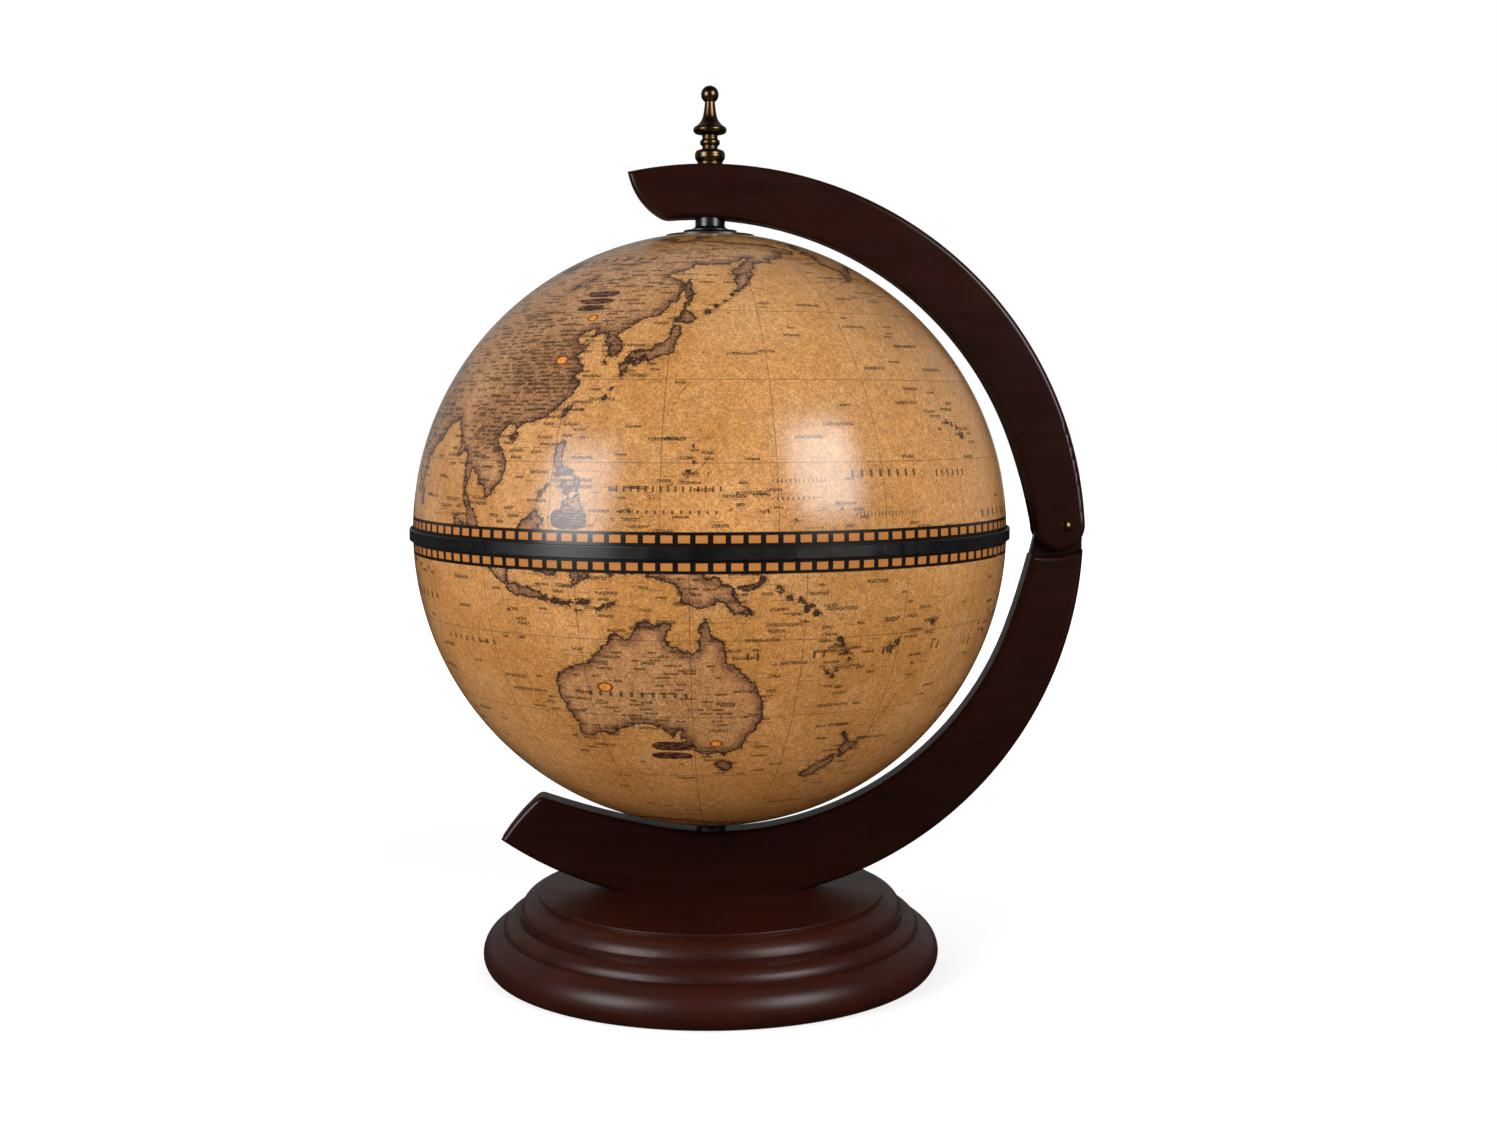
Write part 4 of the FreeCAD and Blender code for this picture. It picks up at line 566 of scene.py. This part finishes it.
def makeHalf(name, side, front, body):
    radius, wall, hole = globe["radius"], globe["wall"], globe["poleHole"]
    low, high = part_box(name)
    rim = (low.z if side > 0 else -high.z) - globe["centreHeight"] * side
    around = globe["around"]
    profile = []  # radius and latitude of each ring, from the outside's rim to the inside's
    for shellRadius, count, inward in ((radius, globe["ringsOutside"], True),
                                       (radius - wall, globe["ringsInside"], False)):
        start, end = math.asin(rim / shellRadius), math.acos(hole / shellRadius)
        steps = [start + (end - start) * i / count for i in range(count + 1)]
        profile += [(shellRadius, angle) for angle in (steps if inward else steps[::-1])]
    turn = np.arange(around) / around * math.tau
    places, longitude, latitude = [], [], []
    for ringRadius, angle in profile:
        across, up = ringRadius * math.cos(angle), ringRadius * math.sin(angle) * side
        places.append(np.stack([across * np.sin(turn), -across * np.cos(turn),
                                np.full(around, globe["centreHeight"] + up)], -1))
        longitude.append(np.degrees(turn) + front)
        latitude.append(np.full(around, math.degrees(angle) * side))
    places = np.concatenate(places)
    longitude, latitude = np.concatenate(longitude) % 360, np.concatenate(latitude)
    longitude = np.where(longitude > 180, longitude - 360, longitude)
    faces = []
    count = len(profile)
    for ring in range(count):
        a, b = ring * around, (ring + 1) % count * around
        for i in range(around):
            j = (i + 1) % around
            face = (a + i, a + j, b + j, b + i)
            faces.append(face if side > 0 else face[::-1])
    mesh = bpy.data.meshes.new(name + "Print")
    mesh.from_pydata(places.tolist(), [], faces)
    rings = [slice(i * around, (i + 1) * around) for i in range(count)]
    for field, values in mapFields(longitude, latitude, rings).items():
        mesh.attributes.new(field, "FLOAT", "POINT").data.foreach_set("value", values.astype(np.float32))
    mesh.shade_smooth()
    mesh.set_sharp_from_angle(angle=math.radians(40))
    piece = bpy.data.objects.new(name + "_printed", mesh)
    bpy.context.scene.collection.objects.link(piece)
    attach(piece, body)
    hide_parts(name)
    return piece


printLook = {
    "sea": tone(197, 143, 86),
    "seaDeep": tone(178, 125, 67),
    "seaPale": tone(205, 160, 110),
    "land": tone(182, 132, 84),
    "landPale": tone(190, 144, 98),
    "landBusy": tone(164, 118, 76),
    "shore": tone(98, 60, 50),
    "ink": tone(40, 27, 22),
    "fine": tone(78, 52, 34),
    "band": tone(20, 16, 15),
    "bandPane": tone(184, 118, 60),
    "plaque": tone(62, 32, 29),
    "townEdge": tone(132, 44, 20),
    "townMiddle": tone(214, 148, 60),
}


noteKinds = {  # millimetres from row to row and stroke to stroke, and half the height of a stroke
    "dense": {"Row": 2.3, "Cell": 9.0, "Half": 0.62, "Seed": 3.0, "Break": 0.45},
    "open": {"Row": 3.6, "Cell": 13.0, "Half": 0.8, "Seed": 11.0, "Break": 0.46},
    "denseLeader": {"Row": 2.3, "Cell": 9.0, "Half": 0.16, "Seed": 23.0, "Break": 0.3},
    "openLeader": {"Row": 2.7, "Cell": 13.0, "Half": 0.17, "Seed": 31.0, "Break": 0.2},
    "sea": {"Row": 6.5, "Cell": 23.0, "Half": 0.9, "Seed": 47.0, "Break": 0.47},
    "plaque": {"Row": 1.5, "Cell": 8.0, "Half": 0.4, "Seed": 61.0},
}

bandShape = {  # millimetres from the equator, each edge a soft step
    "edge": (10.15, 10.0),
    "paneBottom": (4.7, 4.85),
    "paneTop": (8.55, 8.4),
    "paneSide": (0.35, 0.335),  # as a share of the distance from pane to pane
    "panes": 123,
}


def makePrint(name, front):
    # parchment-coloured map under gloss varnish
    made, tree, principled, place = newMaterial(name, Coat_Weight=1.0, Coat_Roughness=0.14, Coat_IOR=1.42,
                                                Specular_IOR_Level=0.12)
    look = printLook
    centred = vectorCalc(tree, "SUBTRACT", place, (0, 0, globe["centreHeight"]))
    here = node(tree, "VectorMath", {0: centred, "Scale": 1000}, operation="SCALE").outputs[0]
    x, y, z = node(tree, "SeparateXYZ", {0: here}).outputs
    height = calc(tree, "DIVIDE", z, vectorCalc(tree, "LENGTH", here))
    latitude = calc(tree, "DEGREES", calc(tree, "ARCSINE", height))
    shrink = calc(tree, "SQRT", calc(tree, "SUBTRACT", 1.0, times(tree, height, height)))
    eastward = calc(tree, "DEGREES", calc(tree, "ARCTAN2", x, times(tree, y, -1)))
    longitude = calc(tree, "ADD", eastward, front)
    up = times(tree, latitude, mmPerDegree)

    def field(label):
        return node(tree, "Attribute", attribute_name=label).outputs["Fac"]

    def notes(kind, density):
        return useGroup(tree, strokes, Longitude=longitude, Up=up, Density=density, **noteKinds[kind])["Ink"]

    mottle = noise(tree, here, 0.028, 5, 0.62, 0.4)
    fibre = noise(tree, here, 0.62, 4, 0.7, 0.5)
    speck = noise(tree, here, 1.7, 2, 0.6)

    sea = mix(tree, fade(tree, noise(tree, here, 0.011, 3, 0.5), 0.34, 0.66), look["seaDeep"], look["sea"])
    sea = mix(tree, fade(tree, mottle, 0.42, 0.72, 0.0, 0.45), sea, look["seaPale"])
    coast = field("coast")
    for scale, detail, roughness in ((1.1, 2, 0.6), (0.5, 3, 0.65)):  # fine and broad raggedness
        ragged = calc(tree, "SUBTRACT", noise(tree, here, scale, detail, roughness), 0.5)
        coast = calc(tree, "ADD", coast, times(tree, ragged, 2.6))
    onLand = fade(tree, coast, -0.1, 0.2)
    crowd = field("crowd")
    land = mix(tree, fade(tree, mottle, 0.35, 0.7), look["land"], look["landPale"])
    land = mix(tree, fade(tree, crowd, 0.3, 0.9), land, look["landBusy"])
    shoreDepth = fade(tree, scaled(tree, mottle, 5.0, coast), 8.5, 3.5, 0.0, 0.56)
    colour = mix(tree, onLand, sea, land)
    colour = mix(tree, times(tree, onLand, shoreDepth), colour, look["shore"])

    dashes = node(tree, "Mapping", {"Vector": here, "Rotation": (0, 0.5, 0), "Scale": (0.35, 0.35, 1.5)})
    hatch = times(tree, fade(tree, noise(tree, dashes.outputs[0], 1.0, 2, 0.6), 0.53, 0.6),
                  times(tree, fade(tree, coast, -3.2, -0.8), fade(tree, coast, 4.0, 0.5)))
    busy = times(tree, onLand, crowd)
    offshore = times(tree, calc(tree, "SUBTRACT", 1.0, onLand), fade(tree, coast, -22.0, -1.0))
    hills = times(tree, fade(tree, noise(tree, here, 0.3, 4, 0.8, 2.6), 0.48, 0.58), busy)
    ridge = calc(tree, "ABSOLUTE", calc(tree, "SUBTRACT", noise(tree, here, 0.11, 4, 0.6, 1.6), 0.5))
    rivers = times(tree, fade(tree, ridge, 0.014, 0.003), onLand)
    spread = calc(tree, "MAXIMUM", busy, times(tree, offshore, 0.5))
    words = calc(tree, "MAXIMUM", notes("dense", scaled(tree, busy, 0.95, 0.02)),
                 notes("open", scaled(tree, spread, 0.6, 0.012)))
    leaders = calc(tree, "MAXIMUM", notes("denseLeader", times(tree, busy, 0.7)),
                   notes("openLeader", times(tree, offshore, 0.3)))
    seaWords = notes("sea", scaled(tree, onLand, -0.06, 0.075))
    ticks = times(tree, fade(tree, fromMiddle(tree, field("rowAlong")), 0.17, 0.11),
                  fade(tree, field("rowUp"), 1.05, 0.9))
    meridians = useGroup(tree, gridLines, Degrees=longitude, Every=20.0, Half=0.3,
                         Millimetres=times(tree, shrink, mmPerDegree))["Ink"]
    parallels = useGroup(tree, gridLines, Degrees=latitude, Every=15.0, Half=0.28,
                         Millimetres=mmPerDegree)["Ink"]
    track = times(tree, fade(tree, field("track"), 0.75, 0.35), fade(tree, speck, 0.44, 0.56))
    lineWidth = scaled(tree, fibre, 1.7, -0.28)
    coastLine = fade(tree, calc(tree, "SUBTRACT", calc(tree, "ABSOLUTE", coast), lineWidth), 0.15, -0.15)
    for mask, strength, ink in (
            (hatch, 0.6, "ink"), (hills, 0.8, "shore"), (rivers, 0.5, "ink"), (words, 0.85, "ink"),
            (leaders, 0.6, "fine"), (seaWords, 0.85, "ink"), (ticks, 0.8, "ink"),
            (calc(tree, "MAXIMUM", meridians, parallels), 0.62, "ink"), (track, 0.8, "ink"),
            (coastLine, 0.92, "ink")):
        colour = mix(tree, times(tree, mask, strength), colour, look[ink])

    plate = mix(tree, times(tree, notes("plaque", 0.9), 0.5), look["plaque"], look["landPale"])
    colour = mix(tree, fade(tree, field("plaque"), 1.06, 0.98), colour, plate)
    town = field("town")
    spot = mix(tree, fade(tree, town, 0.84, 0.62), look["townEdge"], look["townMiddle"])
    colour = mix(tree, fade(tree, town, 1.05, 0.97), colour, spot)

    grainy = times(tree, scaled(tree, speck, 0.6, 0.7),
                   fade(tree, noise(tree, here, 0.85, 2, 0.55), 0.34, 0.66, 0.78, 1.2))
    worn = times(tree, grainy, fade(tree, noise(tree, here, 0.24, 3, 0.6), 0.3, 0.7, 0.87, 1.11))
    shade = node(tree, "CombineColor", {i: worn for i in range(3)}).outputs[0]
    colour = mix(tree, 1.0, colour, shade, "MULTIPLY")

    away = calc(tree, "ABSOLUTE", z)
    beside = fromMiddle(tree, scaled(tree, eastward, bandShape["panes"] / 360, 80.0))
    inPane = fade(tree, away, *bandShape["paneBottom"])
    for distance, edge in ((away, "paneTop"), (beside, "paneSide")):
        inPane = times(tree, inPane, fade(tree, distance, *bandShape[edge]))
    paneColour = mix(tree, fade(tree, fibre, 0.3, 0.7, 0.0, 0.5), look["bandPane"], look["seaDeep"])
    band = mix(tree, inPane, look["band"], paneColour)
    colour = mix(tree, fade(tree, away, *bandShape["edge"]), colour, band)

    marks = useGroup(tree, wear, Vector=place, Scale=1.0)
    rough = scaled(tree, marks["Smudge"], 0.08, 0.34)
    peel = calc(tree, "ADD", times(tree, fibre, 0.7), noise(tree, here, 0.16, 2, 0.5))
    fill(tree, principled, {"Base Color": colour,
                            "Roughness": scaled(tree, marks["Speck"], 0.1, rough),
                            "Normal": bump(tree, peel, 0.00006, 0.5)})
    return made


def paint(names, material):
    for name in names:
        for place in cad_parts[name].material_slots:
            place.material = material


woodLooks = {
    "armMahogany": {"dark": tone(29, 7, 3), "middle": tone(40, 12, 6), "red": tone(48, 15, 8),
                    "coat": 0.4, "coatRoughness": 0.22},
    "baseMahogany": {"dark": tone(43, 13, 6), "middle": tone(55, 18, 9), "red": tone(67, 23, 12),
                     "coat": 0.48, "coatRoughness": 0.36},
}


def makeMahogany(name):
    # nearly opaque dark stain, with the grain only just showing through satin lacquer
    woodLook = woodLooks[name]
    made, tree, principled, place = newMaterial(name, Coat_Weight=woodLook["coat"], Specular_IOR_Level=0.08,
                                                Coat_Roughness=woodLook["coatRoughness"])
    lines = useGroup(tree, grain, Vector=place, Bend=1.0)
    marks = useGroup(tree, wear, Vector=place, Scale=1.0)
    colour = mix(tree, fade(tree, lines["Streak"], 0.3, 0.72), woodLook["dark"], woodLook["middle"])
    colour = mix(tree, fade(tree, marks["Cloud"], 0.4, 0.75, 0.0, 0.3), colour, woodLook["red"])
    colour = mix(tree, times(tree, lines["Pore"], 0.45), colour, tone(16, 6, 5))
    rough = scaled(tree, marks["Smudge"], 0.12, 0.34)
    height = calc(tree, "SUBTRACT", times(tree, lines["Streak"], 0.5), times(tree, lines["Pore"], 0.5))
    fill(tree, principled, {"Base Color": colour,
                            "Roughness": scaled(tree, lines["Pore"], 0.12, rough),
                            "Normal": bump(tree, height, 0.00008, 0.35)})
    return made


brassLook = {
    # painted shade: the dark brown laid into hollows and beside neighbouring parts
    "hollow": tone(30, 20, 13),
    "unshadedBrass": tone(102, 82, 56),
    "smudge": tone(62, 46, 30),
    "reach": 0.006,            # how near a surface must be to paint shade
    "roughness": 0.46,         # in the hollows
    "polish": -0.2,            # roughness change where no shade is painted
}


def makeBrass():
    # antique brass: paler in the open, with painted shade in dark brown in hollows and beside neighbouring
    # parts
    made, tree, principled, place = newMaterial("antiqueBrass", Metallic=1.0)
    marks = useGroup(tree, wear, Vector=place, Scale=2.4)
    # painted shade: an occlusion node darkens the colour where other surfaces stand close, in hollows and
    # between parts
    hollow = node(tree, "AmbientOcclusion", {"Distance": brassLook["reach"]}, samples=8).outputs["AO"]
    unshadedBrass = fade(tree, calc(tree, "ADD", hollow, times(tree, marks["Cloud"], 0.3)), 0.62, 1.12)
    colour = mix(tree, unshadedBrass, brassLook["hollow"], brassLook["unshadedBrass"])
    colour = mix(tree, times(tree, marks["Smudge"], 0.35), colour, brassLook["smudge"])
    rough = scaled(tree, unshadedBrass, brassLook["polish"], brassLook["roughness"])
    fill(tree, principled, {
        "Base Color": colour,
        "Roughness": scaled(tree, marks["Speck"], 0.15, rough),
        "Normal": bump(tree, calc(tree, "ADD", marks["Scratch"], marks["Cloud"]), 0.00004, 0.4)})
    return made


mouldedLooks = {
    "blackPlastic": {"dark": tone(7, 7, 8), "pale": tone(14, 14, 16), "roughness": 0.28, "grain": 0.2,
                     "shader": {"Coat_Weight": 0.15, "Coat_Roughness": 0.14}},
    "trayPlastic": {"dark": tone(34, 26, 22), "pale": tone(50, 39, 32), "roughness": 0.42, "grain": 1.0,
                    "shader": {}},
    "zincedSteel": {"dark": tone(128, 130, 132), "pale": tone(176, 178, 178), "roughness": 0.3, "grain": 0.4,
                    "shader": {"Metallic": 1.0}},
    "brassScrews": {"dark": tone(150, 112, 54), "pale": tone(196, 158, 88), "roughness": 0.28, "grain": 0.3,
                    "shader": {"Metallic": 1.0}},
}


def makeMoulded(name):
    # moulded or turned plastic and plain metal, with handling marks
    look = mouldedLooks[name]
    made, tree, principled, place = newMaterial(name, **look["shader"])
    marks = useGroup(tree, wear, Vector=place, Scale=1.6)
    colour = mix(tree, fade(tree, marks["Cloud"], 0.35, 0.7), look["dark"], look["pale"])
    colour = mix(tree, times(tree, marks["Speck"], 0.2), colour, tone(150, 146, 140))
    rough = scaled(tree, marks["Smudge"], 0.14, look["roughness"])
    surface = calc(tree, "ADD", times(tree, noise(tree, place, 1400, 2, 0.5), look["grain"]),
                   times(tree, marks["Scratch"], -0.3))
    fill(tree, principled, {"Base Color": colour,
                            "Roughness": scaled(tree, marks["Scratch"], 0.1, rough),
                            "Normal": bump(tree, surface, 0.00005, 0.5)})
    return made


feltLook = {"dark": tone(16, 22, 18), "pale": tone(44, 56, 46), "tuft": tone(60, 70, 58)}


def makeFelt():
    made, tree, principled, place = newMaterial("felt", Sheen_Weight=0.4, Roughness=0.95)
    fibres = noise(tree, place, 900, 4, 0.8, 3.0)
    tufts = noise(tree, place, 160, 3, 0.6)
    colour = mix(tree, fade(tree, fibres, 0.35, 0.7), feltLook["dark"], feltLook["pale"])
    colour = mix(tree, fade(tree, tufts, 0.5, 0.75, 0.0, 0.4), colour, feltLook["tuft"])
    fill(tree, principled, {"Base Color": colour, "Normal": bump(tree, fibres, 0.0004, 0.8)})
    return made


beechLook = {"dark": tone(196, 152, 104), "pale": tone(222, 188, 142), "pore": tone(150, 104, 66)}


def makeBeech():
    made, tree, principled, place = newMaterial("beech", Roughness=0.6)
    lines = useGroup(tree, grain, Vector=place, Bend=0.4)
    colour = mix(tree, lines["Streak"], beechLook["dark"], beechLook["pale"])
    colour = mix(tree, times(tree, lines["Pore"], 0.5), colour, beechLook["pore"])
    fill(tree, principled, {"Base Color": colour, "Normal": bump(tree, lines["Pore"], 0.0001, 0.4)})
    return made


liningLook = {
    "dark": tone(186, 146, 96),
    "pale": tone(214, 180, 130),
    "fibre": tone(140, 104, 62),
    "foxing": tone(112, 72, 38),
    "roughness": 0.5,
}


def makeLining():
    # paper lining of both bowls: aged cream, with faint fibres and foxing
    made, tree, principled, place = newMaterial("lining", Coat_Weight=0.25, Coat_Roughness=0.3)
    marks = useGroup(tree, wear, Vector=place, Scale=0.8)
    fibres = noise(tree, place, 480, 4, 0.7, 1.2)
    colour = mix(tree, fade(tree, marks["Cloud"], 0.3, 0.75), liningLook["dark"], liningLook["pale"])
    colour = mix(tree, fade(tree, fibres, 0.45, 0.8, 0.0, 0.5), colour, liningLook["fibre"])
    colour = mix(tree, times(tree, marks["Speck"], 0.35), colour, liningLook["foxing"])
    fill(tree, principled, {
        "Base Color": colour,
        "Roughness": scaled(tree, marks["Smudge"], 0.12, liningLook["roughness"]),
        "Normal": bump(tree, fibres, 0.00008, 0.5)})
    return made


paint(["lower_arm", "upper_arm"], makeMahogany("armMahogany"))
paint(["base"], makeMahogany("baseMahogany"))
paint(["finial", "hinge_barrel", "hinge_screw"], makeBrass())
paint(["upper_rim_ring", "lower_rim_ring", "top_collar", "bottom_collar", "top_pole_disc", "bottom_pole_disc",
       "top_hub", "bottom_hub"], makeMoulded("blackPlastic"))
paint(["bottle_tray"], makeMoulded("trayPlastic"))
paint(["top_spindle", "bottom_spindle", "top_washer", "bottom_washer", "top_nut", "bottom_nut", "arm_screws"],
      makeMoulded("zincedSteel"))
paint(["tray_screws"], makeMoulded("brassScrews"))
paint(["base_felt"], makeFelt())
paint(["arm_dowels"], makeBeech())
paint(["upper_lining", "lower_lining"], makeLining())
print("finishes ready")

upperHalf = makeHalf("upper_shell", 1, globe["upperFront"], "upper_half")
upperHalf.data.materials.append(makePrint("upperPrint", globe["upperFront"]))
lowerHalf = makeHalf("lower_shell", -1, globe["lowerFront"], "lower_half")
lowerHalf.data.materials.append(makePrint("lowerPrint", globe["lowerFront"]))
print("both halves printed")


studio = {
    "target": (0, 0, 0.2462),
    "rightBox": {"toward": (0.636, -0.671, 0.385), "size": (0.92, 1.2), "power": 38, "soft": 0.34},
    "leftBox": {"toward": (-0.735, -0.63, 0.25), "size": (1.02, 1.25), "power": 39, "soft": 0.36},
    "boxDistance": 1.5,
    "roomBright": 0.22,        # behind the object
    "roomDim": 0.015,          # in front of it
    "roomEdge": (-0.1, 0.6),   # where one turns into the other
    "roomFill": 1.0,           # soft light on matt surfaces only
    "fillFrom": (-0.6, 0.8, 0),
    "fillEdge": (-0.2, 0.4),
}

floorLook = {
    "size": 14.0,
    "grain": (tone(184, 166, 142), tone(192, 174, 150)),
    "reflected": tone(60, 58, 56),
    "seen": tone(186, 186, 186),
    "glowNear": tone(214, 214, 214),
    "glowFar": (1.2, 1.2, 1.2, 1),
    "glowEdge": (0.3, 1.2),    # metres from the middle
}

frontCamera = {
    "lens": 44.32,
    "sensorWidth": 36,
    "place": (0, -1.036, 0.3162),
    "lookDown": 4.83,          # degrees
    "lookRight": 1.18,
}


def makeFloor():
    half = floorLook["size"] / 2
    mesh = bpy.data.meshes.new("studioFloor")
    corners = [(-half, -half, 0), (half, -half, 0), (half, half, 0), (-half, half, 0)]
    mesh.from_pydata(corners, [], [(0, 1, 2, 3)])
    floor = bpy.data.objects.new("studioFloor", mesh)
    bpy.context.scene.collection.objects.link(floor)
    # glows a little to the camera only, so that it stays white without lighting the object from below
    made, tree, principled, place = newMaterial("paleFloor", Roughness=0.9, Specular_IOR_Level=0.0,
                                                Emission_Strength=1.0)
    rays = node(tree, "LightPath").outputs
    shade = mix(tree, noise(tree, place, 3, 2), *floorLook["grain"])
    shade = mix(tree, rays["Is Glossy Ray"], shade, floorLook["reflected"])
    shade = mix(tree, rays["Is Camera Ray"], shade, floorLook["seen"])
    far = fade(tree, vectorCalc(tree, "LENGTH", place), *floorLook["glowEdge"])
    glow = mix(tree, far, floorLook["glowNear"], floorLook["glowFar"])
    fill(tree, principled, {"Base Color": shade,
                            "Emission Color": mix(tree, rays["Is Camera Ray"], (0, 0, 0, 1), glow)})
    mesh.materials.append(made)


def makeBox(name, box):
    light = bpy.data.lights.new(name, "AREA")
    light.shape = "RECTANGLE"
    light.size, light.size_y = box["size"]
    light.energy = box["power"]
    light.use_nodes = True
    tree = light.node_tree
    across, up = node(tree, "SeparateXYZ", {0: node(tree, "NewGeometry").outputs["Parametric"]}).outputs[:2]
    level = 1.0
    for value in (across, up):
        edge = calc(tree, "MINIMUM", value, calc(tree, "SUBTRACT", 1.0, value))
        level = times(tree, level, fade(tree, edge, 0.0, box["soft"]))
    tree.links.new(level, tree.nodes["Emission"].inputs["Strength"])
    made = bpy.data.objects.new(name, light)
    made.location = Vector(studio["target"]) + Vector(box["toward"]).normalized() * studio["boxDistance"]
    made.rotation_euler = Vector(box["toward"]).to_track_quat("Z", "Y").to_euler()
    bpy.context.scene.collection.objects.link(made)


def makeRoom():
    # the room is white behind the object and dark in front of it, and always white to the camera
    world = bpy.data.worlds.new("studioRoom")
    world.use_nodes = True
    tree = world.node_tree
    tree.nodes.clear()
    direction = node(tree, "TexCoord").outputs["Generated"]
    back = node(tree, "SeparateXYZ", {0: direction}).outputs[1]
    backLeft = vectorCalc(tree, "DOT_PRODUCT", direction, studio["fillFrom"])
    rays = node(tree, "LightPath").outputs
    level = fade(tree, back, *studio["roomEdge"], studio["roomDim"], studio["roomBright"])
    fromBack = fade(tree, backLeft, *studio["fillEdge"], 0.0, studio["roomFill"])
    soft = times(tree, rays["Is Diffuse Ray"], fromBack)
    strength = calc(tree, "MAXIMUM", calc(tree, "MAXIMUM", level, soft), rays["Is Camera Ray"])
    light = node(tree, "Background", {"Color": (1, 1, 1, 1), "Strength": strength})
    node(tree, "OutputWorld", {"Surface": light.outputs[0]})
    bpy.context.scene.world = world


def makeCamera():
    data = bpy.data.cameras.new("frontCamera")
    data.lens, data.sensor_width = frontCamera["lens"], frontCamera["sensorWidth"]
    camera = bpy.data.objects.new("frontCamera", data)
    camera.location = frontCamera["place"]
    camera.rotation_euler = (math.radians(90 - frontCamera["lookDown"]), 0,
                             math.radians(-frontCamera["lookRight"]))
    bpy.context.scene.collection.objects.link(camera)
    bpy.context.scene.camera = camera


makeFloor()
makeBox("softboxRight", studio["rightBox"])
makeBox("softboxLeft", studio["leftBox"])
makeRoom()
makeCamera()
bpy.context.scene.view_settings.view_transform = "Standard"
print("studio set")
